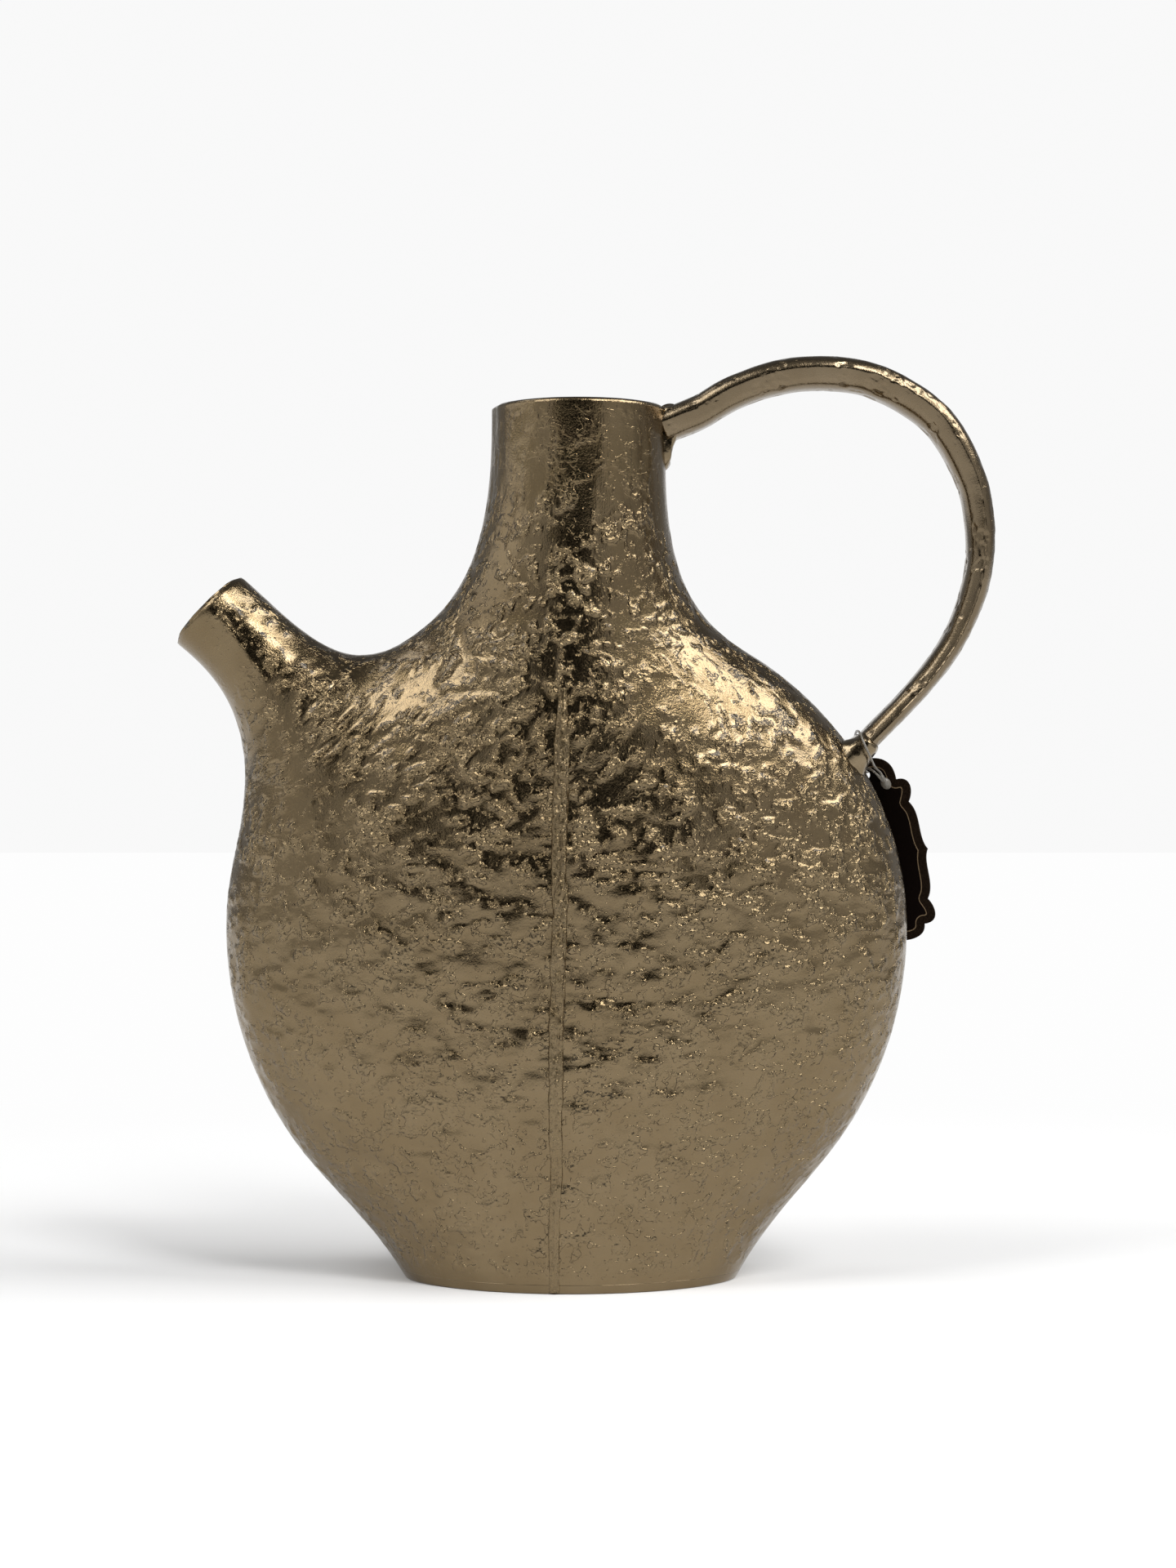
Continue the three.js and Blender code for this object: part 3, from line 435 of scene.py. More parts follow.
def mix_tones(nodes, links, shader, first, second, share):
    """Give the shader a base colour that goes from the first to the second tone with share."""
    tint = nodes.new("ShaderNodeMix")
    tint.data_type = "RGBA"
    tint.inputs[6].default_value = (*first, 1.0)
    tint.inputs[7].default_value = (*second, 1.0)
    links.new(share, tint.inputs["Factor"])
    links.new(tint.outputs[2], shader.inputs["Base Color"])


def metal_material(
    name, ground, crest, gloss, grain_size, grain_depth, brushing=(1.0, 1.0, 1.0), pitting=0.3
):
    """Tinted cast metal. Ragged crumbly islands, from the mesh's island and sharp values roughened by
    noise, stand over a brushed ground with small pits; they are duller and lighter than it."""
    material, nodes, links, shader = new_finish(name)
    shader.inputs["Metallic"].default_value = 1.0
    shader.inputs["Coat Weight"].default_value = 0.25
    shader.inputs["Coat Roughness"].default_value = 0.12
    place = nodes.new("ShaderNodeTexCoord").outputs["Object"]

    def noise(size, detail, vector=place):
        made = nodes.new("ShaderNodeTexNoise")
        made.inputs["Scale"].default_value = 1.0 / size
        made.inputs["Detail"].default_value = detail
        made.inputs["Roughness"].default_value = 0.6
        links.new(vector, made.inputs["Vector"])
        return made.outputs["Fac"]

    def math_node(operation, a, b=None, c=None):
        made = nodes.new("ShaderNodeMath")
        made.operation = operation
        for slot, value in enumerate((a, b, c)):
            if isinstance(value, (int, float)):
                made.inputs[slot].default_value = value
            elif value is not None:
                links.new(value, made.inputs[slot])
        return made.outputs[0]

    def spread(value, low, high, to_low, to_high):
        made = nodes.new("ShaderNodeMapRange")
        made.interpolation_type = "SMOOTHSTEP"
        for title, number in zip(RANGE_ENDS, (low, high, to_low, to_high)):
            made.inputs[title].default_value = number
        links.new(value, made.inputs["Value"])
        return made.outputs["Result"]

    def attribute(title):
        made = nodes.new("ShaderNodeAttribute")
        made.attribute_name = title
        return made.outputs["Fac"]

    turned = nodes.new("ShaderNodeMapping")
    turned.inputs["Scale"].default_value = brushing
    links.new(place, turned.inputs["Vector"])
    brushed = noise(grain_size, 2.0, turned.outputs["Vector"])
    grain = noise(grain_size, 2.0)
    crumbs = noise(2.7 * grain_size, 0.8)
    folds = math_node("ABSOLUTE", math_node("SUBTRACT", noise(7.0 * grain_size, 2.0), 0.5))
    worms = spread(folds, 0.0, 0.05, 0.28, 0.0)
    ragged = math_node("MULTIPLY_ADD", attribute("island"), 0.9, worms)
    ragged = math_node("MULTIPLY_ADD", crumbs, 0.8, ragged)
    islands = math_node("MULTIPLY", spread(ragged, 0.83, 1.02, 0.0, 1.0), attribute("sharp"))
    tops = math_node("MULTIPLY_ADD", crumbs, 3.6, math_node("MULTIPLY_ADD", grain, 0.25, -1.3))
    tops = math_node("MULTIPLY", islands, tops)
    pits = spread(noise(3.6 * grain_size, 3.0), 0.60, 0.70, 0.0, pitting)
    pits = math_node("MULTIPLY", pits, attribute("sharp"))
    height = math_node("MULTIPLY_ADD", grain, 0.20, math_node("SUBTRACT", tops, pits))
    height = math_node("MULTIPLY_ADD", brushed, 0.09, height)
    bump = nodes.new("ShaderNodeBump")
    bump.inputs["Strength"].default_value = 1.0
    bump.inputs["Distance"].default_value = grain_depth
    links.new(height, bump.inputs["Height"])
    links.new(bump.outputs["Normal"], shader.inputs["Normal"])
    patches = spread(noise(0.018, 5.0), 0.35, 0.65, 0.0, 0.55)
    mix_tones(nodes, links, shader, ground, crest, math_node("MULTIPLY_ADD", islands, 0.35, patches))
    rough = spread(grain, 0.3, 0.7, gloss - 0.05, gloss + 0.06)
    rough = math_node("MULTIPLY_ADD", islands, 0.05, rough)
    links.new(rough, shader.inputs["Roughness"])
    return material


cast_material = metal_material(
    "cast_metal", CAST_GROUND, CAST_CREST, 0.19, 0.0007, 0.00045, (2.2, 2.2, 0.12), 0.5
)
for half, side in (("front_shell", 1), ("back_shell", -1)):
    casting = half_casting(half + "_casting", side)
    casting.data.materials.append(cast_material)
    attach(casting, "jug")
    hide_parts(half)


# Rib: the narrow raised ridge down the middle of the front casting, cast with it. It runs out under
# the neck, and its top is left as rough as the islands.
RIB_TOP_Z, RIB_FOOT_Z, RIB_WIDTH, RIB_HEIGHT = 0.1975, 0.0005, 0.0062, 0.0014
RIB_TOP_X, RIB_FOOT_X = -0.0018, -0.0047
RIB_SINK, RIB_BEDDING = 0.0022, 0.0003
RIB_STEPS, RIB_TOP_SIDES, RIB_UNDER_SIDES = 640, 33, 7
RIB_DRIFT, RIB_ROUGHNESS, RIB_LUMPS, RIB_CREASE = 0.0014, 0.0007, 0.0006, 0.0004


def outward(points, quads, triangles):
    """The same faces, all turned over if the closed skin's signed volume is below zero."""
    halves = np.concatenate([quads[:, [0, 1, 2]], quads[:, [0, 2, 3]], triangles])
    a, b, c = points[halves[:, 0]], points[halves[:, 1]], points[halves[:, 2]]
    if np.einsum("ij,ij->", a, np.cross(b, c)) < 0:
        return quads[:, ::-1], triangles[:, ::-1]
    return quads, triangles


def lofted_object(name, rings, attributes=None):
    """A closed skin through rings of points, each end closed by a fan to the ring's mean point."""
    count, around = rings.shape[:2]
    points = np.concatenate([rings.reshape(-1, 3), rings[:1].mean(axis=1), rings[-1:].mean(axis=1)])
    index = np.arange(count * around).reshape(count, around)
    index = np.concatenate([index, index[:, :1]], axis=1)
    first, last = np.full(around, count * around), np.full(around, count * around + 1)
    triangles = np.concatenate([
        np.stack([first, index[0, 1:], index[0, :-1]], axis=1),
        np.stack([last, index[-1, :-1], index[-1, 1:]], axis=1),
    ])
    quads, triangles = outward(points, grid_faces(index), triangles)
    padded = {title: np.append(values.ravel(), [0.0, 0.0]) for title, values in (attributes or {}).items()}
    return mesh_object(name, points, quads, triangles, padded)


def front_face(x, z):
    """How far the front casting's face stands out from the seam plane, hollows and all."""
    depth = np.sqrt(np.maximum(squared_depth(x, z, 0.0), 0))
    return depth - hollows(x, depth, z, HOLLOW_TURN[1])


height = np.linspace(0, 1, RIB_STEPS)[:, None]
across = np.linspace(-1, 1, RIB_TOP_SIDES)[None, :]
rib_z = RIB_FOOT_Z + (RIB_TOP_Z - RIB_FOOT_Z) * height + 0 * across
rib_line = RIB_FOOT_X + (RIB_TOP_X - RIB_FOOT_X) * height
rib_path = np.stack([rib_line[:, 0], np.zeros(len(height)), rib_z[:, 0]], axis=1)
drift = noise_over(rib_path, 0.02, 2, 307)[:, None] * RIB_DRIFT
edges = np.stack([0 * rib_z + across * 0.0004, 0 * rib_z, rib_z], axis=-1)
edges = 1 + 0.25 * noise_over(edges, 0.004, 3, 317)
width = (RIB_WIDTH / 2) * (1 - 0.28 * smooth_step(0.02, 0.09, 0.11 - rib_z))
width = width * (0.5 + 0.5 * smooth_step(0.0, 0.02, RIB_TOP_Z - rib_z))
rib_x = rib_line + drift + across * width * edges
rib_face = front_face(rib_x, rib_z)
spots = np.stack([rib_x, -rib_face, rib_z * 0.35], axis=-1)
rough = noise_over(spots, 0.0011, 3, 311)
lumps = noise_over(spots * np.array([1.0, 1.0, 2.9]), 0.003, 2, 331)
creases = np.exp(-(((np.abs(across + 9 * drift / RIB_WIDTH) - 0.50) / 0.13) ** 2)) * RIB_CREASE
low_rib = smooth_step(0.0, 0.10, 0.12 - rib_z)
swell = RIB_HEIGHT * (1 - 0.45 * low_rib) * (1 - np.abs(across) ** 3.5) - creases * (1 - 0.5 * low_rib)
swell = swell + (rough * RIB_ROUGHNESS + lumps * RIB_LUMPS) * (1 - across**4)
swell = swell * (0.25 + 0.75 * smooth_step(0.0, 0.012, RIB_TOP_Z - rib_z))
lift = swell - RIB_SINK * smooth_step(0.72, 1.0, np.abs(across)) - RIB_BEDDING
rib_top = np.stack([rib_x, -(rib_face + lift), rib_z], axis=-1)
under_share = np.linspace(1, -1, RIB_UNDER_SIDES)[None, 1:-1]
under_x = rib_line + drift + under_share * width[:, :1]
under_z = rib_z[:, :1] + 0 * under_share
under_face = front_face(under_x, under_z) - RIB_SINK - RIB_BEDDING
rib_under = np.stack([under_x, -under_face, under_z], axis=-1)
rib_rings = np.concatenate([rib_top, rib_under], axis=1)
rib_island = np.full(rib_rings.shape[:2], 0.46)
rib_sharp = 0.25 + 0.45 * smooth_step(0.05, 0.15, rib_rings[..., 2])
rib = lofted_object("front_rib", rib_rings, {"island": rib_island, "sharp": rib_sharp})
rib_material = metal_material(
    "rib_metal", CAST_GROUND, RIB_CREST, 0.30, 0.0006, 0.00045, (1.6, 1.6, 0.22), 0.5
)
rib.data.materials.append(rib_material)
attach(rib, "jug")


# Base plate: a flat oval plate welded under the foot and ground level, its edge flush with the foot.
PLATE_EDGE, PLATE_EDGE_ANGLES = 0.0006, (0.5, 1.1, 1.57)


def level_outline(z, inset):
    """Closed outline of the outer skin at a height: the front row of skin points and its mirror."""
    middle = np.array([[NECK_X, z]])
    far = [np.array([[side * 1.5 * BELLY_HALF_WIDTH, z]]) for side in (-1, 1)]
    ends = [seam_points(middle, point, inset, 1) for point in far]
    front = skin_rows(ends[0], ends[1], COLUMNS, inset, 1)[0]
    front[0, 1] = 0.0
    back = front[-2:0:-1] * np.array([1.0, -1.0, 1.0])
    return np.concatenate([front, back])


bottom = level_outline(0.0, PLATE_EDGE)
inner_ring = bottom * np.array([0.55, 0.55, 1.0])
plate_levels = [
    level_outline(PLATE_EDGE * (1 - math.cos(a)), PLATE_EDGE * (1 - math.sin(a)))
    for a in PLATE_EDGE_ANGLES
]
top = level_outline(FLOOR_Z, 0.0)
below_top = level_outline(FLOOR_Z - EDGE_ROW, 0.0)
inner_top = top * np.array([0.6, 0.6, 1.0])
plate_rings = np.stack([inner_ring, bottom, *plate_levels, below_top, top, inner_top])
plate_material = metal_material(
    "plate_metal", (0.18, 0.131, 0.070), (0.21, 0.157, 0.09), 0.20, 0.0010, 0.0002
)
plate = lofted_object("base_plate_ground", plate_rings)
around = plate_rings.shape[1]
plate_face = np.arange(len(plate.data.polygons))
plate.data.polygons.foreach_set(
    "use_smooth", (plate_face >= around) & (plate_face < (len(plate_rings) - 2) * around)
)
plate.data.materials.append(plate_material)
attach(plate, "jug")
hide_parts("base_plate")


# Handle: one cast band bent in a loop from the neck to the boss. Its outside is crowned and rough,
# its inside is rounded and smoother, a flash line runs down each side, and it thins to its foot.
HANDLE_DEPTH, HANDLE_THICKNESS, HANDLE_FOOT_THICKNESS = 0.019, 0.0098, 0.0054
HANDLE_OVER_RIM, HANDLE_OVERHANG, HANDLE_UNDER_RIM, HANDLE_BITE = 0.012, 0.0254, 0.0066, 0.0016
HANDLE_FOOT_Z, HANDLE_FOOT_OUT = 0.1805, 0.008
OUTSIDE_SWELL, INSIDE_SWELL = 0.0006, 0.0012
BAND_STEPS, BAND_SIDES = 380, 112
DENT_DEPTH, BAND_LUMPS, BAND_POCKS, BAND_SINK = 0.0003, 0.0004, 0.0003, 0.0003
FLASH_HEIGHT, FLASH_POCKS = 0.00022, 0.0007


def smooth_route(points, count):
    """A smooth curve through points at equal steps of its length: between neighbours runs a cubic
    whose end slopes come from the points about it, weighted by the roots of their distances."""
    p = np.asarray(points, dtype=float)
    p = np.concatenate([2 * p[:1] - p[1:2], p, 2 * p[-1:] - p[-2:-1]])
    step = np.maximum(np.linalg.norm(np.diff(p, axis=0), axis=1) ** 0.5, 1e-6)[:, None]
    before, here, after = step[:-2], step[1:-1], step[2:]
    p0, p1, p2, p3 = p[:-3], p[1:-2], p[2:-1], p[3:]
    m1 = ((p1 - p0) / before - (p2 - p0) / (before + here) + (p2 - p1) / here) * here
    m2 = ((p2 - p1) / here - (p3 - p1) / (here + after) + (p3 - p2) / after) * here
    t = np.linspace(0, 1, 65)[:-1, None, None]
    curve = p1 + t * m1 + t**2 * (3 * (p2 - p1) - 2 * m1 - m2) + t**3 * (2 * (p1 - p2) + m1 + m2)
    curve = np.concatenate([curve.transpose(1, 0, 2).reshape(-1, p.shape[1]), p[-2:-1]])
    run = np.append(0, np.linalg.norm(np.diff(curve, axis=0), axis=1).cumsum())
    goals = np.linspace(0, run[-1], count)
    return np.stack([np.interp(goals, run, curve[:, k]) for k in range(p.shape[1])], axis=1)


def ring_normals(rings):
    """Outward unit normals of closed rings: the cross product of the steps round and along them."""
    around = np.roll(rings, -1, axis=1) - np.roll(rings, 1, axis=1)
    along = np.gradient(rings, axis=0)
    normals = np.cross(around, along)
    normals /= np.linalg.norm(normals, axis=2)[..., None] + 1e-12
    outwards = np.sum(normals * (rings - rings.mean(axis=1, keepdims=True)))
    return normals if outwards > 0 else -normals


def shoulder_x(z):
    """Where the right side seam is at a height."""
    middle, far = np.array([[NECK_X, z]]), np.array([[1.5 * BELLY_HALF_WIDTH, z]])
    return seam_points(middle, far, 0.0, 1)[0, 0]


handle_start = np.array([NECK_X + NECK_RADIUS - HANDLE_BITE, RIM_Z - HANDLE_UNDER_RIM])
handle_foot = np.array([shoulder_x(HANDLE_FOOT_Z) + HANDLE_FOOT_OUT, HANDLE_FOOT_Z])
handle_far = np.array([BELLY_X + BELLY_HALF_WIDTH + HANDLE_OVERHANG, RIM_Z + HANDLE_OVER_RIM])
over_top = np.array([
    [0, 0], [0.12, 0.3], [0.22, 0.63], [0.37, 0.93], [0.5, 1], [0.66, 0.86], [0.857, 0.17],
])
down_far = np.array([
    [0.92, 0.83], [0.99, 0.71], [1, 0.6], [0.95, 0.485], [0.76, 0.32], [0.48, 0.18], [0, 0],
])
down_to = np.array([handle_far[0], handle_start[1]])
route = np.concatenate([
    handle_start + (handle_far - handle_start) * over_top, handle_foot + (down_to - handle_foot) * down_far,
])
centre = smooth_route(np.stack([route[:, 0], 0 * route[:, 0], route[:, 1]], axis=1), BAND_STEPS)
ahead = np.gradient(centre, axis=0)
ahead /= np.linalg.norm(ahead, axis=1)[:, None]
outward_way = np.stack([-ahead[:, 2], 0 * ahead[:, 0], ahead[:, 0]], axis=1)
half_section = [
    [0, 0, 1], [0.34, 0, 0.97], [0.62, 0, 0.85], [0.82, 0, 0.64], [0.94, 0, 0.38], [0.995, 0, 0.14],
    [0.985, 0, -0.02], [0.93, 0, -0.3], [0.84, 0, -0.6], [0.68, 0, -0.86], [0.44, 0, -1.0],
    [0.2, 0, -1.05], [0, 0, -1.06],
]
side_curve = smooth_route(half_section, BAND_SIDES // 2 + 1)
section = np.concatenate([side_curve, side_curve[-2:0:-1] * np.array([-1.0, 1.0, 1.0])])
share = np.linspace(0, 1, BAND_STEPS)
thin = smooth_step(0.35, 0.95, share)
half_thickness = (HANDLE_THICKNESS + (HANDLE_FOOT_THICKNESS - HANDLE_THICKNESS) * thin) / 2
swelling = np.where(section[None, :, 2] > 0, OUTSIDE_SWELL, INSIDE_SWELL * (1 + 0.5 * thin[:, None]))
lift = (half_thickness[:, None] + swelling) * section[None, :, 2]
rings = centre[:, None, :] + outward_way[:, None, :] * lift[..., None]
rings[..., 1] = section[None, :, 0] * HANDLE_DEPTH / 2
normals = ring_normals(rings)
rough_outside = smooth_step(0.5, 0.9, section[:, 2])[None, :]
rough_outside = rough_outside * (0.3 + 0.7 * smooth_step(0.33, 0.48, share))[:, None]
dents = fractal_noise(rings.reshape(-1, 3), 0.0042, 3, 401).reshape(rings.shape[:2])
dents = smooth_step(0.62, 0.74, dents)
lumps = noise_over(rings, 0.009, 2, 411)
pocks = noise_over(rings, 0.0024, 2, 421)
edge_line = np.exp(-(((section[:, 2] - 0.10) / 0.10) ** 2)) * (np.abs(section[:, 0]) > 0.8)
flash = edge_line[None, :] * smooth_step(0.52, 0.66, share)[:, None]
flash = flash * (1 - smooth_step(0.93, 0.98, share))[:, None]
band_height = -DENT_DEPTH * dents * (1 - rough_outside) + BAND_LUMPS * lumps
band_height = band_height + BAND_POCKS * pocks * rough_outside
band_height = band_height + flash * (FLASH_HEIGHT + FLASH_POCKS * pocks) - BAND_SINK
band_rings = rings + normals * band_height[..., None]
speckle = 0.10 + 0.34 * rough_outside + 0.4 * flash
band_material = metal_material(
    "band_metal", (0.175, 0.131, 0.078), (0.215, 0.166, 0.105), 0.22, 0.0006, 0.0002, (1.0, 1.0, 1.0)
)
handle = lofted_object("handle_band", band_rings, {"island": speckle, "sharp": 0.12 + 0.4 * rough_outside})
handle.data.materials.append(band_material)
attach(handle, "jug")
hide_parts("handle")


# Boss: the stub cast on the shoulder that the handle's foot is welded to. It flares into the
# shoulder, and its weld is smoothed over in soft lumps.
BOSS_RADIUS, BOSS_DEPTH, BOSS_ROOT_IN, BOSS_ROOT_DROP = 0.0046, 0.0104, 0.0105, 0.009
BOSS_LUMPS, BOSS_SINK = 0.0013, 0.0002
boss_table = [
    [0, 0, 2.7], [0.22, 0, 2], [0.42, 0, 1.5], [0.62, 0, 1.22], [0.8, 0, 1.06], [0.92, 0, 0.88],
    [1, 0, 0.45],
]
boss_curve = smooth_route(boss_table, 60)
boss_foot = np.array([handle_foot[0], 0.0, handle_foot[1]])
boss_way = np.array([BOSS_ROOT_IN, 0.0, BOSS_ROOT_DROP])
boss_root = boss_foot - boss_way
boss_length = np.linalg.norm(boss_way) + BOSS_RADIUS * 0.35
boss_way /= np.linalg.norm(boss_way)
boss_up = np.array([-boss_way[2], 0.0, boss_way[0]])
turn = np.linspace(0, 2 * math.pi, 73)[:-1]
swell = boss_curve[:, 2]
boss_rings = boss_root + boss_way * (boss_length * boss_curve[:, 0])[:, None, None]
boss_rings = boss_rings + boss_up * (BOSS_RADIUS * swell[:, None] * np.sin(turn))[..., None]
boss_side = np.sign(np.cos(turn)) * np.abs(np.cos(turn)) ** 0.8
boss_rings[..., 1] = BOSS_DEPTH * np.minimum(swell, 1)[:, None] * boss_side
boss_normals = ring_normals(boss_rings)
boss_lumps = noise_over(boss_rings, 0.0050, 2, 511)
boss_rings = boss_rings + boss_normals * (BOSS_LUMPS * boss_lumps - BOSS_SINK)[..., None]
weld_material = metal_material(
    "weld_metal", (0.20, 0.151, 0.088), (0.26, 0.202, 0.125), 0.20, 0.0012, 0.0003
)
boss = lofted_object("handle_boss_stub", boss_rings)
boss.data.materials.append(weld_material)
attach(boss, "jug")
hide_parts("handle_boss")


# Gusset and rim weld: weld metal that fills the corner under the handle's upper end, with a drop
# left at its outer end, and the dressed bead across the top of it at the rim.
GUSSET_OUTLINE = [
    [0.0275, 0, 0.2745], [0.0318, 0, 0.2722], [0.0336, 0, 0.2735], [0.0346, 0, 0.2775], [0.0357, 0, 0.2815],
    [0.0373, 0, 0.2844], [0.0396, 0, 0.2857], [0.0422, 0, 0.2860], [0.0440, 0, 0.2880], [0.0436, 0, 0.2915],
    [0.0380, 0, 0.2930], [0.0310, 0, 0.2900], [0.0275, 0, 0.2820], [0.0275, 0, 0.2745],
]
GUSSET_HALF_THICKNESS, GUSSET_LUMPS = 0.0058, 0.0010
gusset_curve = smooth_route(GUSSET_OUTLINE, 97)[:-1]
gusset_middle = gusset_curve.mean(axis=0)
lean = np.linspace(-math.pi / 2, math.pi / 2, 41)[1:-1]
gusset_shrink = np.cos(lean) ** 0.35
gusset_rings = gusset_middle + (gusset_curve - gusset_middle)[None] * gusset_shrink[:, None, None]
gusset_rings[..., 1] = (GUSSET_HALF_THICKNESS * np.sin(lean))[:, None]
gusset_lumps = noise_over(gusset_rings, 0.0045, 2, 611)
gusset_rings = gusset_rings + ring_normals(gusset_rings) * (GUSSET_LUMPS * gusset_lumps)[..., None]

BEAD_RADIUS, BEAD_OUT, BEAD_UNDER_RIM, BEAD_END = 0.0036, 0.0014, 0.0029, 0.0018
bead_share = np.linspace(-1, 1, 61)[1:-1]
bead_size = BEAD_RADIUS * (1 - np.abs(bead_share) ** 4) ** 0.5 * (1 + 0.10 * np.sin(11 * bead_share))
bead_rings = np.zeros((len(bead_share), 40, 3))
bead_turn = np.linspace(0, 2 * math.pi, 41)[:-1]
bead_rings[..., 0] = NECK_X + NECK_RADIUS + BEAD_OUT + bead_size[:, None] * np.cos(bead_turn) * 1.15
bead_rings[..., 1] = (bead_share * (HANDLE_DEPTH / 2 - BEAD_END))[:, None]
bead_rings[..., 2] = RIM_Z - BEAD_UNDER_RIM + bead_size[:, None] * np.sin(bead_turn)
for name, rings, replaced in (
    ("gusset_weld", gusset_rings, "handle_gusset"), ("rim_bead", bead_rings, "rim_weld")
):
    weld = lofted_object(name, rings)
    weld.data.materials.append(weld_material)
    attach(weld, "jug")
    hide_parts(replaced)


# Swing tag: a stiff dark card with a bracket-shaped edge, matt laminated. A thin gold line runs
# inside its edge, and a margin a shade lighter lies outside the line. It hangs by its hole.
TAG_HALF_WIDTH, TAG_TOP, TAG_BOTTOM, TAG_THICKNESS = 0.0168, 0.034, 0.0298, 0.0008
TAG_HOLE_RADIUS, TAG_HOLE_HEIGHT = 0.0015, 0.0286
TAG_ROLL, TAG_TURN, TAG_LEAN = math.radians(9), math.radians(26.5), math.radians(7.6)
TAG_SLACK = 0.0008
LINE_INSET, LINE_WIDTH, LINE_HALVINGS = 0.0028, 0.00032, 16
pivot = np.array(frame["joints"][0]["pos_m"])
w = TAG_HALF_WIDTH
cusp, waist = [0.615 * w, 0.745 * TAG_TOP], [0.79 * w, 0.5 * TAG_TOP]
right_edge = [
    [[0, TAG_TOP], [0.4 * w, 1.01 * TAG_TOP], [0.63 * w, 0.93 * TAG_TOP], cusp],
    [cusp, [0.95 * w, 0.76 * TAG_TOP], [0.94 * w, 0.6 * TAG_TOP], waist],
    [waist, [1.02 * w, 0.36 * TAG_TOP], [0.82 * w, 0.13 * TAG_TOP], [w, 0]],
    [[w, 0], [0.82 * w, -0.13 * TAG_TOP], [1.02 * w, -0.36 * TAG_TOP], [waist[0], -waist[1]]],
    [[waist[0], -waist[1]], [0.94 * w, -0.6 * TAG_TOP], [0.95 * w, -0.76 * TAG_TOP], [cusp[0], -cusp[1]]],
    [[cusp[0], -cusp[1]], [0.6 * w, -TAG_BOTTOM], [0.3 * w, -1.03 * TAG_BOTTOM], [0, -TAG_BOTTOM]],
]


def cubic_run(corners, count):
    """Points of one cubic run from its first to its last corner, drawn towards the two between."""
    t = np.linspace(0, 1, count + 1)[:-1, None]
    a, b, c, d = np.array(corners, dtype=float)
    return a * (1 - t) ** 3 + 3 * b * t * (1 - t) ** 2 + 3 * c * t**2 * (1 - t) + d * t**3


def inner_line(outline, inset):
    """The outline moved in: on each line from the card's middle to an outline point, the farthest
    place that is still inset away from the whole outline, found by halving."""
    low, high = np.zeros(len(outline)), np.ones(len(outline))
    for _ in range(LINE_HALVINGS):
        mid = (low + high) / 2
        spots = outline * mid[:, None]
        nearest = np.linalg.norm(spots[:, None, :] - outline[None, :, :], axis=2).min(axis=1)
        low, high = np.where(nearest > inset, mid, low), np.where(nearest > inset, high, mid)
    return outline * low[:, None]


def turn_about(axis, angle):
    """The matrix that turns points by an angle about an axis, 0 for x and 2 for z."""
    a, b = (axis + 1) % 3, (axis + 2) % 3
    matrix = np.eye(3)
    matrix[a, a] = matrix[b, b] = math.cos(angle)
    matrix[b, a], matrix[a, b] = math.sin(angle), -math.sin(angle)
    return matrix


def tag_place(points, out):
    """Card points, drawn about its middle, put in place out metres before its middle plane."""
    p = np.stack([points[:, 0], points[:, 1] - TAG_HOLE_HEIGHT - TAG_SLACK, 0 * points[:, 0] + out], axis=1)
    turns = turn_about(2, -TAG_TURN) @ turn_about(0, math.pi / 2 + TAG_LEAN) @ turn_about(2, TAG_ROLL)
    return p @ turns.T + pivot


right = np.concatenate([cubic_run(run, 24) for run in right_edge])
outline = np.concatenate([right, np.array([[0, -TAG_BOTTOM]]), right[:0:-1] * np.array([-1.0, 1.0])])
line_outer, line_inner = inner_line(outline, LINE_INSET), inner_line(outline, LINE_INSET + LINE_WIDTH)
hole_turn = np.linspace(0, 2 * math.pi, 33)[:-1]
hole = np.stack([np.cos(hole_turn), np.sin(hole_turn)], axis=1) * TAG_HOLE_RADIUS
hole = hole + np.array([0, TAG_HOLE_HEIGHT])
half_card = TAG_THICKNESS / 2
card_points = np.concatenate(
    [tag_place(level, half_card) for level in (outline, line_outer, line_inner, hole)]
    + [tag_place(level, -half_card) for level in (outline, hole)]
)
edge_count, hole_count = len(outline), len(hole)
k, after = np.arange(edge_count), (np.arange(edge_count) + 1) % edge_count
h, h_after = np.arange(hole_count), (np.arange(hole_count) + 1) % hole_count
front_hole, back_edge = 3 * edge_count, 3 * edge_count + hole_count
back_hole = back_edge + edge_count


def filled(edge, start):
    """Triangles that fill the card inside an edge, whose points and the hole's follow start."""
    return np.array(tessellate_polygon([[Vector((*p, 0)) for p in loop] for loop in (edge, hole)])) + start


margin = np.stack([k, after, edge_count + after, edge_count + k], axis=1)
side = np.stack([k, back_edge + k, back_edge + after, after], axis=1)
hole_wall = np.stack([front_hole + h, front_hole + h_after, back_hole + h_after, back_hole + h], axis=1)
card_quads = np.concatenate([margin + edge_count, margin, side, hole_wall])
card_centre, card_back = filled(line_inner, 2 * edge_count), filled(outline, back_edge)
card_triangles = np.concatenate([card_centre, card_back])
card = mesh_object("tag_card_print", card_points, card_quads, card_triangles)
card.data.polygons.foreach_set("use_smooth", np.zeros(len(card.data.polygons), dtype=bool))
zones = np.zeros(len(card.data.polygons), dtype=np.int32)
zones[:edge_count] = 1
zones[len(card_quads):len(card_quads) + len(card_centre)] = 2
card.data.polygons.foreach_set("material_index", zones)
shell = bmesh.new()
shell.from_mesh(card.data)
bmesh.ops.recalc_face_normals(shell, faces=shell.faces)
shell.to_mesh(card.data)
shell.free()


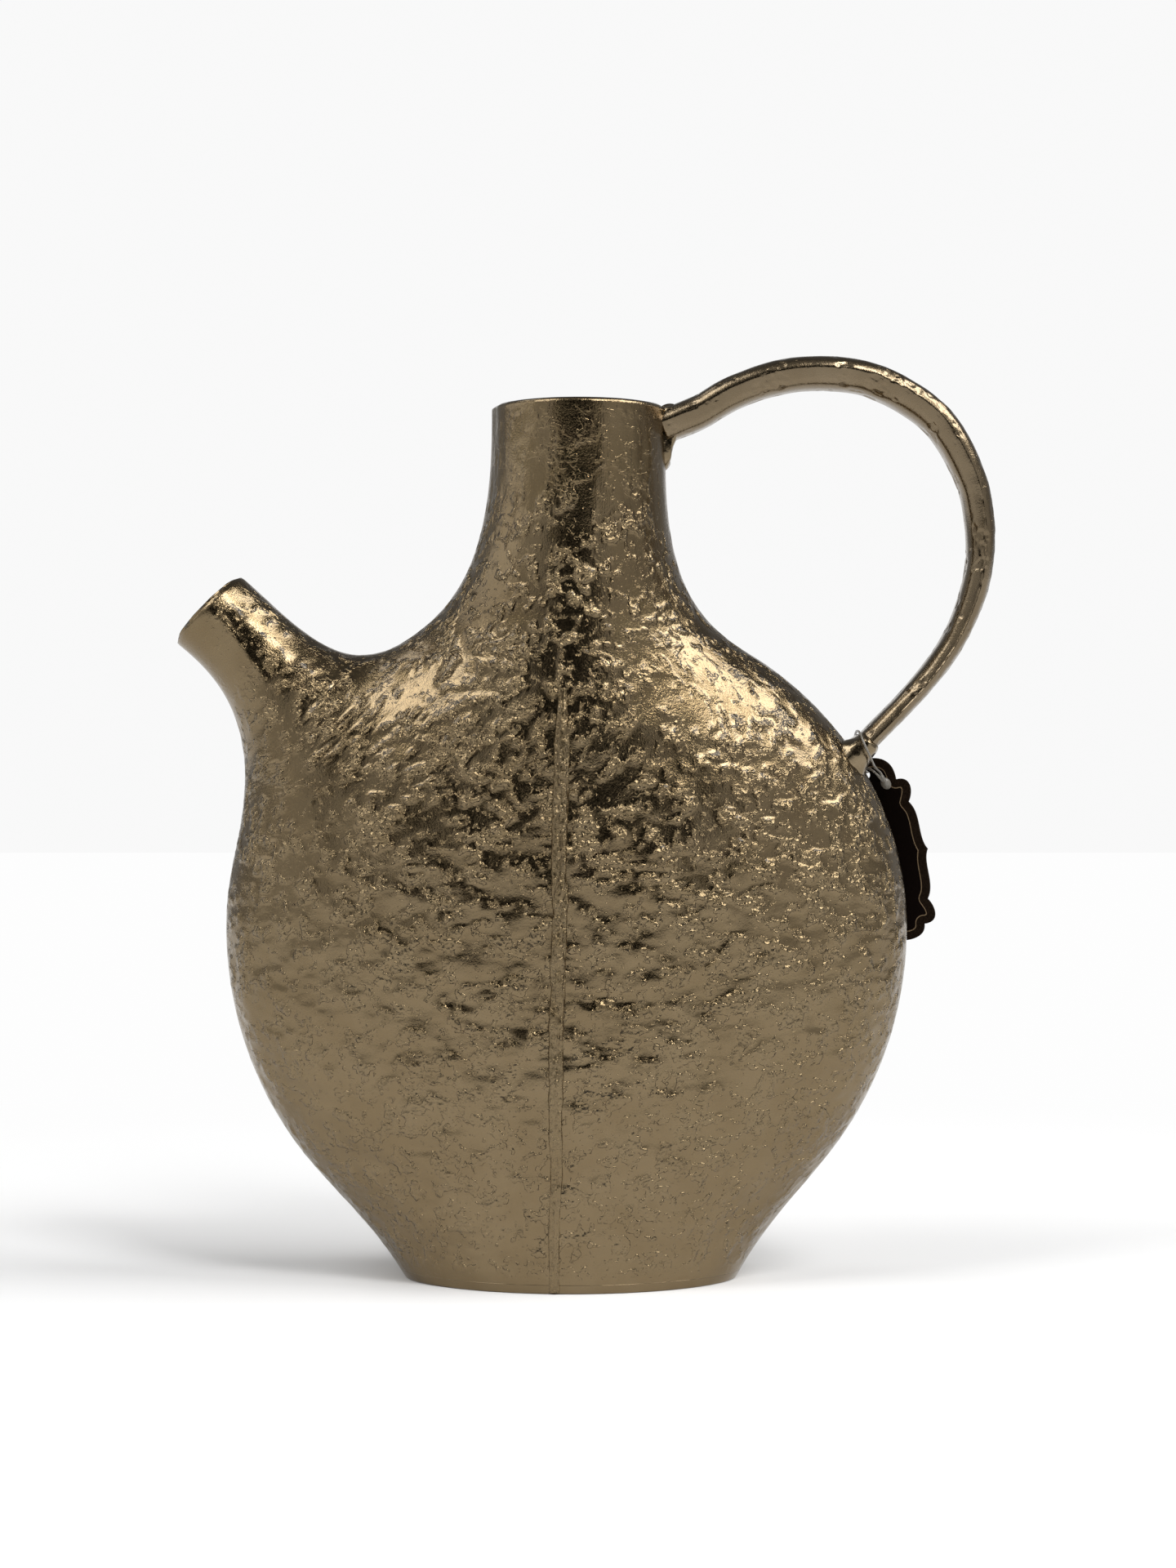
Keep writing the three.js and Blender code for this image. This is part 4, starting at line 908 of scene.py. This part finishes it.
def card_material(name, base, dots, metallic, gloss):
    """Matt laminated board: one colour, a fine dot screen over it and a soft uneven gloss."""
    material, nodes, links, shader = new_finish(name)
    shader.inputs["Metallic"].default_value = metallic
    place = nodes.new("ShaderNodeTexCoord")
    screen = nodes.new("ShaderNodeTexVoronoi")
    screen.inputs["Scale"].default_value = 1700.0
    links.new(place.outputs["Object"], screen.inputs["Vector"])
    spot = nodes.new("ShaderNodeMapRange")
    spot.inputs["From Min"].default_value = 0.15
    spot.inputs["From Max"].default_value = 0.55
    links.new(screen.outputs["Distance"], spot.inputs["Value"])
    mix_tones(nodes, links, shader, dots, base, spot.outputs["Result"])
    clouds = nodes.new("ShaderNodeTexNoise")
    clouds.inputs["Scale"].default_value = 260.0
    links.new(place.outputs["Object"], clouds.inputs["Vector"])
    sheen = nodes.new("ShaderNodeMapRange")
    sheen.inputs["To Min"].default_value = gloss - 0.08
    sheen.inputs["To Max"].default_value = gloss + 0.08
    links.new(clouds.outputs["Fac"], sheen.inputs["Value"])
    links.new(sheen.outputs["Result"], shader.inputs["Roughness"])
    shader.inputs["Specular IOR Level"].default_value = 0.08
    return material


for finish in (
    card_material("tag_margin", (0.011, 0.0060, 0.003), (0.026, 0.016, 0.009), 0.0, 0.6),
    card_material("tag_line", (0.28, 0.205, 0.125), (0.34, 0.25, 0.155), 0.2, 0.5),
    card_material("tag_centre", (0.0035, 0.0012, 0.0005), (0.0045, 0.0018, 0.0009), 0.0, 0.7),
):
    card.data.materials.append(finish)
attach(card, "tag")
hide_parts("tag_card")


# Tag loop: a clear plastic fastener thread round the handle's foot, through the tag's hole and back
# into its own lock head, which swells round the barb that holds it.
THREAD_RADIUS, LOCK_RADIUS = 0.0004, 0.0016
THREAD_PAST_BOSS = 0.0016
LOCK_LENGTH, LOCK_CATCH = 0.0078, 0.62
hinge_way = np.array(frame["joints"][0]["axis"])
thread_reach = BOSS_DEPTH + THREAD_PAST_BOSS
thread_shares = (
    (pivot, [[0.53, -0.51, -0.27], [0.35, -0.81, -0.03]]),
    (boss_foot, [[0.24, 0.22, -0.77], [0.075, -0.53, -0.65], [-0.1, -0.97, -0.35], [-0.24, -0.975, -0.05]]),
    (boss_foot, [[-0.32, -0.7, 0.22], [-0.34, 0, 0.31], [-0.325, 0.72, 0.22], [-0.27, 1.21, 0.04]]),
    (pivot, [[-0.08, 0.2, 0.55], [0.11, 0.35, 0.17], -0.2 * hinge_way, [0, 0, 0], 0.2 * hinge_way]),
    (pivot, [[-0.175, -0.565, 0.08], [-0.02, -0.965, 0.11], [0.17, -1.08, -0.02]]),
    (pivot, [[0.325, -0.765, -0.17], [0.49, -0.5, -0.33]]),
)
thread_route = np.concatenate([
    anchor + thread_reach * np.array(shares) for anchor, shares in thread_shares
])


def swept_rings(path, radius, sides, frame_way=(0.0, 0.0, 1.0)):
    """Round rings carried along a path: each ring's first direction is the last one's, turned as
    little as the path turns."""
    ahead = np.gradient(path, axis=0)
    ahead /= np.linalg.norm(ahead, axis=1)[:, None]
    first = np.zeros_like(path)
    way = np.array(frame_way)
    for step, forward in enumerate(ahead):
        way = way - forward * way.dot(forward)
        way /= np.linalg.norm(way)
        first[step] = way
    second = np.cross(ahead, first)
    turn = np.linspace(0, 2 * math.pi, sides + 1)[:-1]
    ring = first[:, None] * np.cos(turn)[:, None] + second[:, None] * np.sin(turn)[:, None]
    return path[:, None] + ring * np.broadcast_to(radius, len(path))[:, None, None]


thread_path = smooth_route(thread_route, 420)
thread = lofted_object("thread_loop", swept_rings(thread_path, THREAD_RADIUS, 10, (1.0, 0.0, 0.0)))
lock_middle = (thread_route[0] + thread_route[-1]) / 2
lock_way = thread_route[0] - thread_route[1]
lock_way /= np.linalg.norm(lock_way)
lock_table = [
    [0, 0, 0.1], [0.03, 0, 0.35], [0.14, 0, 0.42], [0.22, 0, 0.52], [0.27, 0, 0.44], [0.36, 0, 0.46],
    [0.46, 0, 0.85], [0.62, 0, 1.06], [0.8, 0, 1.0], [0.93, 0, 0.7], [1, 0, 0.15],
]
lock_curve = smooth_route(lock_table, 70)
lock_path = lock_middle + lock_way * ((lock_curve[:, 0] - LOCK_CATCH) * LOCK_LENGTH)[:, None]
lock = lofted_object("thread_lock", swept_rings(lock_path, LOCK_RADIUS * lock_curve[:, 2], 28))
clear_plastic, plastic_nodes, plastic_links, plastic_shader = new_finish("clear_plastic")
plastic_shader.inputs["Roughness"].default_value = 0.32
plastic_shader.inputs["Transmission Weight"].default_value = 0.45
plastic_shader.inputs["IOR"].default_value = 1.49
plastic_place = plastic_nodes.new("ShaderNodeTexCoord")
plastic_clouds = plastic_nodes.new("ShaderNodeTexNoise")
plastic_clouds.inputs["Scale"].default_value = 500.0
plastic_links.new(plastic_place.outputs["Object"], plastic_clouds.inputs["Vector"])
PLASTIC_DIM, PLASTIC_PALE = (0.26, 0.235, 0.195), (0.40, 0.37, 0.32)
plastic_share = plastic_clouds.outputs["Fac"]
mix_tones(plastic_nodes, plastic_links, plastic_shader, PLASTIC_DIM, PLASTIC_PALE, plastic_share)
for piece in (thread, lock):
    piece.data.materials.append(clear_plastic)
    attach(piece, "jug")
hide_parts("tag_thread")


# Floor: a plain pale table top that keeps the jug's soft shadow. Away from the jug it is seen as
# even white, by the camera and in the metal alike.
FLOOR_HALF_SIZE, SHADOW_REACH, WHITE_FROM = 6.0, 0.22, 0.60
floor_corners = np.array([[-1, -1, 0], [1, -1, 0], [1, 1, 0], [-1, 1, 0]]) * FLOOR_HALF_SIZE
no_triangles = np.zeros((0, 3), dtype=int)
floor = mesh_object("floor", floor_corners, np.array([[0, 1, 2, 3]]), no_triangles)
floor_material, floor_nodes, floor_links, floor_shader = new_finish("floor")
floor_shader.inputs["Base Color"].default_value = (0.97, 0.97, 0.97, 1.0)
floor_shader.inputs["Roughness"].default_value = 0.9
floor_shader.inputs["Specular IOR Level"].default_value = 0.1
floor_white = floor_nodes.new("ShaderNodeEmission")
floor_white.inputs["Color"].default_value = (0.985, 0.985, 0.985, 1.0)
floor_rays = floor_nodes.new("ShaderNodeLightPath")
floor_seen = floor_nodes.new("ShaderNodeMath")
floor_seen_all = floor_nodes.new("ShaderNodeMath")
floor_links.new(floor_rays.outputs["Is Camera Ray"], floor_seen.inputs[0])
floor_links.new(floor_rays.outputs["Is Glossy Ray"], floor_seen.inputs[1])
floor_links.new(floor_seen.outputs[0], floor_seen_all.inputs[0])
floor_links.new(floor_rays.outputs["Is Transmission Ray"], floor_seen_all.inputs[1])
floor_seen_all.use_clamp = True
floor_distance = floor_nodes.new("ShaderNodeVectorMath")
floor_distance.operation = "LENGTH"
floor_links.new(floor_nodes.new("ShaderNodeTexCoord").outputs["Object"], floor_distance.inputs[0])
floor_fade = floor_nodes.new("ShaderNodeMapRange")
floor_fade.interpolation_type = "SMOOTHSTEP"
floor_fade.inputs["From Min"].default_value = SHADOW_REACH
floor_fade.inputs["From Max"].default_value = WHITE_FROM
floor_links.new(floor_distance.outputs["Value"], floor_fade.inputs["Value"])
floor_share = floor_nodes.new("ShaderNodeMath")
floor_share.operation = "MULTIPLY"
floor_links.new(floor_seen_all.outputs[0], floor_share.inputs[0])
floor_links.new(floor_fade.outputs["Result"], floor_share.inputs[1])
floor_mix = floor_nodes.new("ShaderNodeMixShader")
floor_links.new(floor_share.outputs[0], floor_mix.inputs[0])
floor_links.new(floor_shader.outputs["BSDF"], floor_mix.inputs[1])
floor_links.new(floor_white.outputs["Emission"], floor_mix.inputs[2])
floor_links.new(floor_mix.outputs["Shader"], floor_nodes["Material Output"].inputs["Surface"])
floor.data.materials.append(floor_material)


# Flag: a dark card behind the camera, wider below than above, which gives the metal its dark
# reflection down the middle. It starts above the table, so the lower body reflects white.
FLAG_Y = -1.2
flag_outline = np.array([
    [-0.95, 0.29], [0.68, 0.29], [0.66, 0.50], [0.52, 0.80],
    [0.34, 1.75], [-0.36, 1.75], [-0.44, 0.80], [-0.78, 0.50],
])
flag_points = np.stack([flag_outline[:, 0], np.full(len(flag_outline), FLAG_Y), flag_outline[:, 1]], axis=1)
flag = mesh_object("flag", flag_points, np.array([[0, 1, 2, 7], [2, 3, 6, 7], [3, 4, 5, 6]]), no_triangles)
flag_material, _, _, flag_shader = new_finish("flag")
flag_shader.inputs["Base Color"].default_value = (0.012, 0.012, 0.012, 1.0)
flag_shader.inputs["Roughness"].default_value = 1.0
flag_shader.inputs["Specular IOR Level"].default_value = 0.0
flag.data.materials.append(flag_material)
flag.visible_camera = False
flag.visible_shadow = False


# World and lamps: pale grey walls that are brighter in front, a dimmer ceiling and a white wall
# behind the jug, with four softboxes high round it and a weak one low on the left.
WALL_LIGHT, CEILING_LIGHT, WHITE_WALL_LIGHT, SIDE_SHARE = 0.62, 0.26, 0.945, 0.5
world = bpy.data.worlds.new("studio")
bpy.context.scene.world = world
world.use_nodes = True
world_nodes, world_links = world.node_tree.nodes, world.node_tree.links
world_way = world_nodes.new("ShaderNodeSeparateXYZ")
world_links.new(world_nodes.new("ShaderNodeTexCoord").outputs["Generated"], world_way.inputs[0])
room_light = world_nodes.new("ShaderNodeMapRange")
in_front = world_nodes.new("ShaderNodeMapRange")
behind = world_nodes.new("ShaderNodeMapRange")
for ramp, source, numbers in (
    (room_light, "Z", (0.2, 0.7, WALL_LIGHT, CEILING_LIGHT)),
    (in_front, "Y", (-0.6, 0.2, 1.0, SIDE_SHARE)),
    (behind, "Y", (0.895, 0.945, 0.0, 1.0)),
):
    ramp.interpolation_type = "SMOOTHSTEP"
    for title, number in zip(RANGE_ENDS, numbers):
        ramp.inputs[title].default_value = number
    world_links.new(world_way.outputs[source], ramp.inputs["Value"])
world_level = world_nodes.new("ShaderNodeMix")
world_links.new(behind.outputs["Result"], world_level.inputs["Factor"])
world_room = world_nodes.new("ShaderNodeMath")
world_room.operation = "MULTIPLY"
world_links.new(room_light.outputs["Result"], world_room.inputs[0])
world_links.new(in_front.outputs["Result"], world_room.inputs[1])
world_links.new(world_room.outputs[0], world_level.inputs["A"])
world_level.inputs["B"].default_value = WHITE_WALL_LIGHT
world_links.new(world_level.outputs["Result"], world_nodes["Background"].inputs["Strength"])
world_nodes["Background"].inputs["Color"].default_value = (1.0, 1.0, 1.0, 1.0)


def area_lamp(name, place, target, size, radiance):
    """A rectangular softbox at place that faces target, with the light that it shows as given."""
    data = bpy.data.lights.new(name, "AREA")
    data.shape = "RECTANGLE"
    data.size, data.size_y = size
    data.energy = radiance * math.pi * size[0] * size[1]
    lamp = bpy.data.objects.new(name, data)
    lamp.location = place
    lamp.rotation_euler = (Vector(target) - Vector(place)).to_track_quat("-Z", "Y").to_euler()
    bpy.context.scene.collection.objects.link(lamp)


area_lamp("key_softbox", (2.55, -0.35, 2.85), (0, 0, 0.15), (2.0, 1.6), 7.5)
area_lamp("front_softbox", (1.20, -1.75, 2.70), (0, 0, 0.18), (0.8, 1.4), 12.0)
area_lamp("left_softbox", (-1.75, -1.15, 2.90), (0, 0, 0.15), (1.2, 1.8), 5.0)
area_lamp("far_softbox", (-1.75, 0.90, 3.10), (0, 0, 0.15), (1.0, 1.0), 2.5)
area_lamp("low_softbox", (-2.00, 0.00, 1.10), (0, 0, 0.20), (1.6, 1.2), 0.9)
